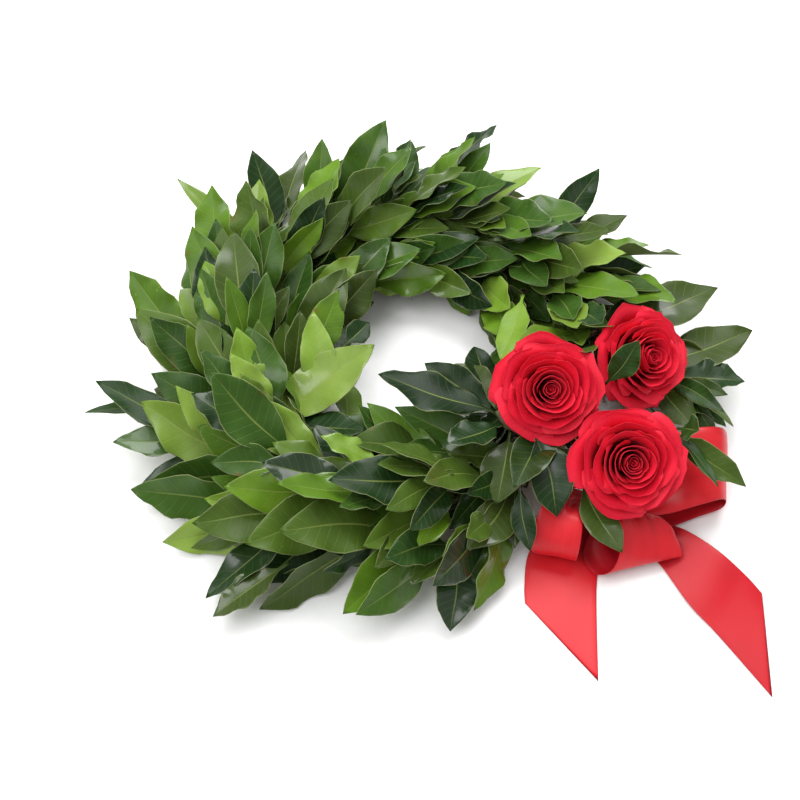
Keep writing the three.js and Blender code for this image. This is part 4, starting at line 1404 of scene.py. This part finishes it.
@dataclass
class Rose:
    """A rose bloom: a tight spiral heart and seven turns of broad petals that flare at their rims."""

    name: str
    neck: Point
    facing: Point
    turn: float
    size: float
    setting: Setting
    heart_petals: int = 9
    heart_heights: tuple[float, ...] = (0.3, 4.0, 16.0, 24.0, 27.0)
    heart_radii: tuple[float, ...] = (4.6, 5.6, 3.6, 1.6, 0.5)
    rim_thickness: float = 0.14
    foot_thickness: float = 0.36
    golden: float = 137.5
    rows: tuple[float, ...] = (0.0, 0.14, 0.3, 0.46, 0.6, 0.72, 0.82, 0.9, 0.96, 0.99, 1.0)
    columns: tuple[float, ...] = (
        -1.0, -0.975, -0.88, -0.74, -0.58, -0.4, -0.2, 0.0, 0.2, 0.4, 0.58, 0.74, 0.88, 0.975, 1.0)
    layers: tuple[PetalLayer, ...] = (
        PetalLayer(3, 6.6, 31.2, 82, 0.5),
        PetalLayer(3, 9.0, 31.8, 80, 0.9),
        PetalLayer(3, 11.8, 31.6, 78, 1.5),
        PetalLayer(4, 15.0, 30.8, 62, 2.2),
        PetalLayer(4, 18.8, 29.0, 62, 3.0),
        PetalLayer(5, 22.9, 26.0, 52, 4.0),
        PetalLayer(5, 27.0, 21.5, 52, 5.0),
    )

    def place(self, point: Vector) -> Vector:
        """Return where a point of the upright bloom goes."""
        axis = Vector(self.facing).normalized()
        return UP.rotation_difference(axis) @ point + Vector(self.neck)

    def heart_petal(self, mesh: MeshBuilder, k: int) -> None:
        """Add one petal of the heart, rolled tightly round the bloom's axis.

        Args:
            mesh: the mesh that takes it.
            k: its number, from 0 for the innermost.
        """
        random = SeededStream(400 * int(self.turn) + 31 * k + 5)
        share = k / (self.heart_petals - 1)
        layer = PetalLayer(1, lerp(1.2, 4.6, share), lerp(29.0, 31.5, share), lerp(118, 84, share), 0.25)
        # the heart's petals get the lowest tones, and so the most painted heart shade
        self.petal(mesh, layer, math.radians(self.turn + self.golden * k), random, lerp(0.0, 0.25, share))

    def petal(self, mesh: MeshBuilder, layer: PetalLayer, azimuth: float, random: SeededStream,
              tone: float) -> None:
        """Add one petal.

        Args:
            mesh: the mesh that takes it.
            layer: the turn it belongs to.
            azimuth: where its middle stands round the bloom, in radians.
            random: the numbers that its own shape is drawn from.
            tone: the value that its finish reads.
        """
        rim = layer.radius * self.size * (1 + random.jitter(0.045))
        height = (layer.height + random.jitter(1.0)) * self.size
        flare = layer.flare * (0.8 + 0.5 * random.next())
        belly = rim - flare - 0.06 * rim
        foot = lerp(1.2, 4.5, layer.radius / 28)
        span = math.radians(layer.span)
        lean = random.jitter(0.10)
        peak = random.jitter(0.5)
        sharp = (0.05 + 0.11 * random.next()) * layer.radius
        seed = Vector((random.next() * 40, self.turn, layer.radius))
        rough = 0.12 + 0.042 * layer.radius
        top, under, marks = [], [], []
        for v in self.rows:
            radius = curve_through([(0.0, foot), (0.22, lerp(foot, belly, 0.72)), (0.5, belly),
                                    (0.78, belly + 0.06 * rim + 0.12 * flare), (1.0, rim)], v)
            rolled = smoothstep(v, 0.62, 1.0)
            wide = curve_through([(0.0, 0.45), (0.3, 0.85), (0.6, 1.0), (0.86, 0.98), (1.0, 0.80)], v)
            rows = ([], [], [])
            for u in self.columns:
                angle = azimuth + u * span * wide + lean * v
                point = max(1 - abs(u - peak) / 0.75, 0.0)
                lobe = 1 - 0.10 * abs(u) ** 3 * v
                frill = noise.noise(seed + Vector((u * 1.7, v * 1.2, 0.0))) * rough * (0.3 + v)
                ripple = noise.noise(seed + Vector((u * 5.0, 9.0, v * 2.0))) * rough * rolled
                out = radius + frill * 1.1 + ripple * 0.6 + sharp * point * rolled
                out += 0.4 * flare * rolled * abs(u) ** 2 + 0.045 * layer.radius * u
                z = 2 + (height - 2) * v * lobe + ripple * 0.4
                z -= flare * 0.75 * smoothstep(v, 0.80, 1.0) * (0.55 + 0.45 * abs(u - peak))
                outward = Vector((math.cos(angle), math.sin(angle), 0.0))
                base = outward * out + UP * z
                thick = lerp(self.foot_thickness, self.rim_thickness, v)
                rows[0].append(self.place(base + outward * thick))
                rows[1].append(self.place(base - outward * thick))
                rows[2].append((u / 2 + 0.5, v, tone))
            top.append(rows[0])
            under.append(rows[1])
            marks.append(rows[2])
        mesh.add_shell(top, under, marks)

    def build(self) -> bpy.types.Object:
        """Build the bloom, and dress its stem.

        Returns:
            The bloom's piece.
        """
        mesh = MeshBuilder(f"{self.name}_bloom")
        heart = [self.place(UP * z) for z in self.heart_heights]
        # the heart's rod reads tone 0.2, and so takes painted heart shade
        mesh.add_rod(heart, [r * self.size for r in self.heart_radii], 12, 0, 0.2)
        for k in range(self.heart_petals):
            self.heart_petal(mesh, k)
        for number, layer in enumerate(self.layers):
            random = SeededStream(700 * int(self.turn) + 53 * number)
            start = math.radians(self.turn + 71 * number)
            for k in range(layer.petals):
                azimuth = start + math.tau * (k + random.jitter(0.16)) / layer.petals
                # inner turns get lower tones, and so more painted heart shade
                tone = lerp(0.35, 1.0, number / 6) * (0.8 + 0.2 * random.next())
                self.petal(mesh, layer, azimuth, random, tone)
        piece = mesh.build(self.setting.centre, [self.setting.petal])
        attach(piece, "root")
        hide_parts(self.name)
        dress(f"{self.name}_stem", self.setting.tape)
        return piece


def dress(node: str, finish: bpy.types.Material) -> None:
    """Give a solid that stays its finish.

    Args:
        node: the solid's name.
        finish: its material, for every slot.
    """
    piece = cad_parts[node]
    if not piece.material_slots:
        piece.data.materials.append(finish)
    for slot in piece.material_slots:
        slot.material = finish


@dataclass
class SatinBow:
    """The satin bow: three loops and two tails of one ribbon, from a knot behind the lowest rose.

    Each row of a strand is a place on one edge of the ribbon, and then the place across from it.
    """

    setting: Setting
    width: float = 38.0
    half_thickness: float = 0.16
    columns: tuple[float, ...] = (
        0.0, 0.012, 0.08, 0.18, 0.28, 0.39, 0.5, 0.61, 0.72, 0.82, 0.92, 0.988, 1.0)
    steps: int = 9
    gather_height: float = 4.2
    gather_rows: float = 2.3
    loop_sway: float = 0.9
    tail_sway: float = 0.5
    knot: Point = (109.0, -89.0, 11.0)
    knot_size: Point = (9.6, 8.6, 6.8)
    knot_rings: int = 11
    knot_sides: int = 28
    strands: dict[str, list[tuple[float, ...]]] = field(default_factory=lambda: {
        "right_loop": [
            (108, -94, 12.5, 111, -83, 13), (134, -97, 19, 126, -60, 25), (156, -91, 20, 150, -51, 31),
            (168, -86, 17, 169, -48, 30), (173, -84, 11, 176, -47, 19), (171, -86, 6, 171, -50, 9),
            (159, -90, 4.2, 153, -54, 5.2), (136, -98, 4.6, 128, -63, 5.2), (109, -95, 9.5, 112, -84, 9)],
        "front_loop": [
            (105, -89, 14, 115, -91, 14.5), (107, -95, 25, 137, -99, 17), (110, -107, 28, 144, -107, 11),
            (111, -119, 20, 147, -114, 7.2), (107, -126, 10, 146, -115, 6.2), (99, -125, 4.6, 140, -114, 5.6),
            (94, -112, 4.2, 131, -103, 5.6), (104, -92, 9.8, 114, -93, 10)],
        "left_loop": [
            (104, -84, 13, 101, -92, 13), (82, -84, 25, 91, -96, 24), (71, -96, 31, 91, -107, 29),
            (65, -110, 25, 90, -117, 22), (65, -116, 14, 89, -121, 12), (70, -112, 7.6, 90, -115, 7),
            (86, -91, 7, 96, -103, 7), (104, -84, 10, 102, -92, 10)],
        "left_tail": [
            (101, -88, 8, 107, -94, 7.6), (77, -97, 3.5, 106, -108, 1), (65, -112, 1.6, 102, -122, 0.6),
            (62, -131, 0.5, 100, -139, 0.5), (62, -141, 0.5, 98, -183, 0.5)],
        "right_tail": [
            (114, -87, 7.4, 108, -94, 7.2), (139, -93, 2.4, 125, -110, 0.9), (151, -99, 5, 135, -117, 0.9),
            (166, -112, 8, 149, -141, 1.5), (180, -125, 5, 162, -157, 0.9), (188, -134, 2.4, 186, -190, 0.6)],
    })

    def edge(self, points: list[Vector], place: float) -> Vector:
        """Read a smooth curve through points.

        Args:
            points: the points that the curve passes through.
            place: where to read it, counted in points.

        Returns:
            The place on the curve.
        """
        k = min(int(place), len(points) - 2)
        t = place - k
        p0, p1 = points[max(k - 1, 0)], points[k]
        p2, p3 = points[k + 1], points[min(k + 2, len(points) - 1)]
        return 0.5 * ((2 * p1) + (p2 - p0) * t + (2 * p0 - 5 * p1 + 4 * p2 - p3) * t * t
                      + (3 * p1 - p0 - 3 * p2 + p3) * t * t * t)

    def strand(self, mesh: MeshBuilder, name: str) -> float:
        """Add one strand of ribbon.

        Args:
            mesh: the mesh that takes it.
            name: the strand's name.

        Returns:
            Its length along its middle, in millimetres.
        """
        rows = self.strands[name]
        left = [Vector(row[:3]) for row in rows]
        right = [Vector(row[3:]) for row in rows]
        loop = name.endswith("loop")
        sway = self.loop_sway if loop else self.tail_sway
        seed = Vector((len(name) * 1.7, 3.0, 0.0))
        count = (len(rows) - 1) * self.steps
        places = [i / self.steps for i in range(count + 1)]
        edges = [(self.edge(left, p), self.edge(right, p)) for p in places]
        middles = [(a + b) * 0.5 for a, b in edges]
        length = sum((b - a).length for a, b in zip(middles, middles[1:]))
        top, under, marks = [], [], []
        for i, (a, b) in enumerate(edges):
            along = (middles[min(i + 1, count)] - middles[max(i - 1, 0)]).normalized()
            out = along.cross(b - a).normalized()
            near_knot = min(i, count - i if loop else count) / (self.gather_rows * self.steps)
            pleat = max(1 - near_knot, 0.0) * min(near_knot * 4, 1.0) * self.gather_height
            share = i / count
            rows_here = ([], [], [])
            for u in self.columns:
                place = a.lerp(b, u)
                lift = pleat * math.sin(u * math.pi * 5) * 0.6
                lift += noise.noise(seed + Vector((u * 1.6, share * 5.0, 0.0))) * sway
                lift *= 1 - abs(2 * u - 1) ** 6
                place = place + out * lift
                place.z = max(place.z, 0.25)
                rows_here[0].append(place + out * self.half_thickness)
                rows_here[1].append(place - out * self.half_thickness)
                # the third mark is 0 at the knot and 1 away from it, lower on the loops; the finish paints
                # shade near the knot from it
                rows_here[2].append((u, share * length / 1000, min(near_knot, 1.0) * (0.75 if loop else 1.0)))
            top.append(rows_here[0])
            under.append(rows_here[1])
            marks.append(rows_here[2])
        mesh.add_shell(top, under, marks)
        return length

    def build(self) -> bpy.types.Object:
        """Build the ribbon and its knot.

        Returns:
            The ribbon's piece.
        """
        mesh = MeshBuilder("bow_ribbon")
        lengths = {name: self.strand(mesh, name) for name in self.strands}
        ribbon = mesh.build(self.setting.centre, [self.setting.satin])
        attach(ribbon, "root")
        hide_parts("ribbon_bow")
        knot = self.build_knot()
        return ribbon

    def build_knot(self) -> bpy.types.Object:
        """Build the knot's wrap: a short creased band of ribbon round the gathered middle.

        Returns:
            The knot's piece.
        """
        mesh = MeshBuilder("bow_knot")
        rings, sides = self.knot_rings, self.knot_sides
        wide, deep, tall = self.knot_size
        centre = Vector(self.knot)
        for i in range(rings):
            lean = math.pi * (i + 0.5) / rings
            for k in range(sides):
                turn = math.tau * k / sides
                crease = 1 + 0.05 * math.sin(turn * 7 + lean * 2)
                flat = Vector((math.cos(turn) * wide, math.sin(turn) * deep, 0.0)) * (math.sin(lean) * crease)
                mesh.points.append(tuple(centre + flat + UP * (math.cos(lean) * tall)))
        for i in range(rings - 1):
            for k in range(sides):
                low, high = i * sides, (i + 1) * sides
                corners = (low + (k + 1) % sides, low + k, high + k, high + (k + 1) % sides)
                # tone 0.5 gives the knot part of the finish's painted shade near the knot
                mesh.add_face(corners, 0, [(k / sides, i / rings * 0.03, 0.5, 0.0)] * 4)
        mesh.add_face(tuple(range(sides)), 0, [(0.5, 0.0, 0.5, 0.0)] * sides)
        last = (rings - 1) * sides
        mesh.add_face(tuple(last + k for k in reversed(range(sides))), 0, [(0.5, 0.03, 0.5, 0.0)] * sides)
        knot = mesh.build(self.setting.centre, [self.setting.satin])
        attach(knot, "root")
        return knot


@dataclass(frozen=True)
class SoftLight:
    """One soft square light: its place about the ring's centre and its side in metres, and its power."""

    name: str
    place: Point
    side: float
    watts: float

    def build(self, centre: Vector) -> None:
        """Make the light, turned to the wreath.

        Args:
            centre: the ring's centre in the frame, in metres.
        """
        data = bpy.data.lights.new(self.name, "AREA")
        data.size = self.side
        data.energy = self.watts
        light = bpy.data.objects.new(self.name, data)
        bpy.context.scene.collection.objects.link(light)
        light.location = Vector(self.place) + centre
        light.rotation_euler = (-Vector(self.place)).to_track_quat("-Z", "Y").to_euler()


@dataclass
class Studio:
    """A plain pale floor, soft white light and the camera at the photograph's angle."""

    setting: Setting
    eye: Point = (0.0, -391.4, 610.3)
    aim: Point = (-6.26, -33.65, 30.0)
    lens: float = 55.1
    floor_reach: float = 4.0
    surroundings: float = 0.60
    lights: tuple[SoftLight, ...] = (
        SoftLight("key_light", (0.1, 0.8, 1.25), 1.2, 27.0),
        SoftLight("fill_light", (-0.7, -0.3, 1.2), 1.0, 12.0),
    )

    def camera(self) -> None:
        """Make the camera."""
        data = bpy.data.cameras.new("camera")
        data.lens = self.lens
        data.sensor_width = 36.0
        data.clip_start = 0.01
        camera = bpy.data.objects.new("camera", data)
        bpy.context.scene.collection.objects.link(camera)
        camera.location = Vector(self.eye) * MM + self.setting.centre
        toward = (Vector(self.aim) - Vector(self.eye)).normalized()
        camera.rotation_euler = toward.to_track_quat("-Z", "Y").to_euler()
        bpy.context.scene.camera = camera

    def floor(self) -> None:
        """Make the floor."""
        mesh = bpy.data.meshes.new("floor")
        turns = ((-1, -1), (1, -1), (1, 1), (-1, 1))
        corners = [(x * self.floor_reach, y * self.floor_reach, 0) for x, y in turns]
        mesh.from_pydata(corners, [], [(0, 1, 2, 3)])
        finish = PlainFinish("pale_floor", (0.95, 0.95, 0.95), (0.93, 0.93, 0.93), 0.9)
        mesh.materials.append(finish.material())
        floor = bpy.data.objects.new("floor", mesh)
        bpy.context.scene.collection.objects.link(floor)
        floor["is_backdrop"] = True

    def light(self) -> None:
        """Make the lights and the pale surroundings."""
        world = bpy.data.worlds.new("surroundings")
        world.use_nodes = True
        background = world.node_tree.nodes["Background"]
        background.inputs[0].default_value = (1.0, 1.0, 1.0, 1.0)
        background.inputs[1].default_value = self.surroundings
        bpy.context.scene.world = world
        for light in self.lights:
            light.build(self.setting.centre)
        bpy.context.scene.view_settings.view_transform = "Standard"

    def build(self) -> None:
        """Make the camera, floor and lights."""
        self.camera()
        self.floor()
        self.light()


@dataclass
class LaurelWreath:
    """The whole wreath, built from its sub-assemblies in order."""

    setting: Setting
    box: tuple[Vector, Vector]
    bunches: int = 14
    hole_low: Point = (-19.0, -15.0, 0.0)
    hole_high: Point = (31.0, 37.0, 0.0)
    bloom_middle: float = 15.0
    bloom_reach: float = 31.0

    def collars(self) -> list[CollarSprig]:
        """Lay out the sprigs of larger leaves beside the roses.

        Returns:
            The six sprigs.
        """
        leaf = CollarLeaf
        return [
            CollarSprig("rose_sprig_left", -37, 125, [(60, -57, 35), (51, -57, 43), (46, -50, 47)], [
                leaf((-18, -36, 60), 25, 8, 10, 0.02, 0.06),
                leaf((7, -22, 50), 20, -14, 14, 0.06, 0.10),
                leaf((19, -76, 56), 23, 10, 12, 0.1, 0.18),
                leaf((46, -99, 33), 25, 4, 16, 0.08, 0.12),
            ], self.setting, [FreeLeaf((47, -49, 46), (22, -16, 40), 21, -6, 12, 0.06, 0.07),
                              FreeLeaf((48, -48, 45), (35, -1, 36), 21, 8, 10, 0.06, 0.05),
                              FreeLeaf((63, 26, 50), (48, -25, 58), 17, 10, 10, 0.05, 0.86)]),
            CollarSprig("rose_sprig_front", -43, 70, [(73, -68, 33), (70, -75, 38)], [
                leaf((77, -106, 34), 24, -6, 14, 0.1, 0.13, (64, -63, 51)),
            ], self.setting, [FreeLeaf((57, -88, 40), (63, -123, 27), 13, 10, 12, 0.06, 0.10)]),
            CollarSprig("rose_sprig_bow", -39, 8, [(88, -76, 28), (90, -83, 32)], [
                leaf((112, -119, 14), 18, 14, 10, 0.06, 0.24),
            ], self.setting),
            CollarSprig("rose_sprig_back", 6, 62, [(99, 8, 32), (104, 9, 40)], [
                leaf((177, 40, 40), 30, -6, 10, 0.06, 0.14),
                leaf((54, -28, 74), 19, 20, 14, 0.04, 0.80),
                leaf((150, 30, 34), 24, 10, 14, 0.12, 0.22),
            ], self.setting, [FreeLeaf((101, -42, 58), (118, -29, 85), 15, 24, 12, 0.05, 0.30)]),
            CollarSprig("rose_sprig_right", -13, 10, [(116, -15, 20), (134, -12, 27), (146, -16, 29)], [
                leaf((196, 17, 30), 28, 6, 12, 0.08, 0.12, (131, -9, 29)),
                leaf((186, -22, 30), 20, -12, 18, 0.1, 0.20),
                leaf((172, -44, 36), 11, 18, 16, 0.14, 0.30),
            ], self.setting, [FreeLeaf((146, -16, 30), (174, -32, 38), 10, 30, 18, 0.12, 0.26),
                              FreeLeaf((146, -17, 29), (176, -50, 34), 9, -24, 20, 0.1, 0.34),
                              FreeLeaf((134, -13, 28), (157, -50, 29), 17, 12, 14, 0.08, 0.24),
                              FreeLeaf((141, -15, 28), (174, -46, 27), 13, -14, 18, 0.10, 0.32),
                              FreeLeaf((145, -17, 28), (170, -55, 24), 10, 22, 18, 0.12, 0.26),
                              FreeLeaf((138, -14, 27), (164, -39, 22), 14, 6, 12, 0.08, 0.12)]),
            CollarSprig("rose_sprig_low", -18, 24, [(112, -44, 31), (132, -52, 40), (142, -57, 42)], [
                leaf((151, -66, 56), 15, 10, 12, 0.04, 0.30),
                leaf((178, -86, 33), 15, 12, 18, 0.16, 0.36),
                leaf((159, -94, 40), 9, -20, 16, 0.1, 0.28),
            ], self.setting),
        ]

    def roses(self) -> list[Rose]:
        """Lay out the three roses.

        Returns:
            The three roses.
        """
        return [
            Rose("rose_left", (72, -37, 49), (0.02, -0.54, 0.84), 15, 1.0, self.setting),
            Rose("rose_upper", (118, -12, 42), (0.42, -0.46, 0.78), 130, 0.97, self.setting),
            Rose("rose_lower", (114, -71, 34), (0.02, -0.56, 0.83), 250, 1.04, self.setting),
        ]

    def thicket(self) -> Thicket:
        """Make the space that fillers may use.

        Returns:
            The space, with the roses, ring and bow standing in it.
        """
        low, high = self.box
        made = Thicket(low, high, Vector(self.hole_low), Vector(self.hole_high))
        made.balls = tuple((Vector(rose.neck) + Vector(rose.facing) * self.bloom_middle,
                            self.bloom_reach * rose.size) for rose in self.roses())
        for node in ("straw_ring", "ribbon_bow", "rose_left", "rose_upper", "rose_lower"):
            made.add_solid(node, self.setting.centre)
        return made

    def build(self) -> list[bpy.types.Object]:
        """Build every sub-assembly in order, and dress the solids that stay.

        Returns:
            The pieces.
        """
        dress("straw_ring", self.setting.straw)
        dress("binding_wire", self.setting.wire)
        dress("bow_pick", self.setting.wire)
        thicket = self.thicket()
        bunches = [LaurelBunch(number, self.setting) for number in range(self.bunches)]
        collars = self.collars()
        for part in (*bunches, *collars):
            part.plan(thicket)
        for bunch in bunches:
            bunch.fill(thicket)
        parts = (*bunches, *collars, *self.roses(), SatinBow(self.setting))
        return [part.build() for part in parts]


def ring_centre(ring: RingPlan) -> Vector:
    """Find the straw ring's centre.

    Args:
        ring: the ring's sizes.

    Returns:
        The place on the floor, in metres in the frame.
    """
    low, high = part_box("straw_ring")
    middle = (low + high) / 2 - ring.box_middle() * MM
    return Vector((middle.x, middle.y, 0.0))


def main() -> None:
    """Build the studio and the wreath."""
    logging.basicConfig(level=logging.INFO, format="%(name)s: %(message)s")
    solid_box = [list(corner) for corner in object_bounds()]
    ring = RingPlan()
    centre = ring_centre(ring)
    setting = Setting(
        ring=ring,
        centre=centre,
        leaf=LeafFinish().material(),
        bark=BarkFinish().material(),
        petal=PetalFinish().material(),
        tape=PlainFinish("stem_tape", (0.12, 0.20, 0.06), (0.07, 0.13, 0.04), 0.6).material(),
        satin=SatinFinish().material(),
        wire=PlainFinish("green_wire", (0.03, 0.07, 0.03), (0.05, 0.06, 0.03), 0.4, 0.7).material(),
        straw=StrawFinish().material(centre),
    )
    Studio(setting).build()
    corners = tuple((Vector(corner) - centre) / MM for corner in solid_box)
    for piece in LaurelWreath(setting, corners).build():
        LOG.info("%s: %d faces", piece.name, len(piece.data.polygons))


if __name__ == "__main__":
    main()
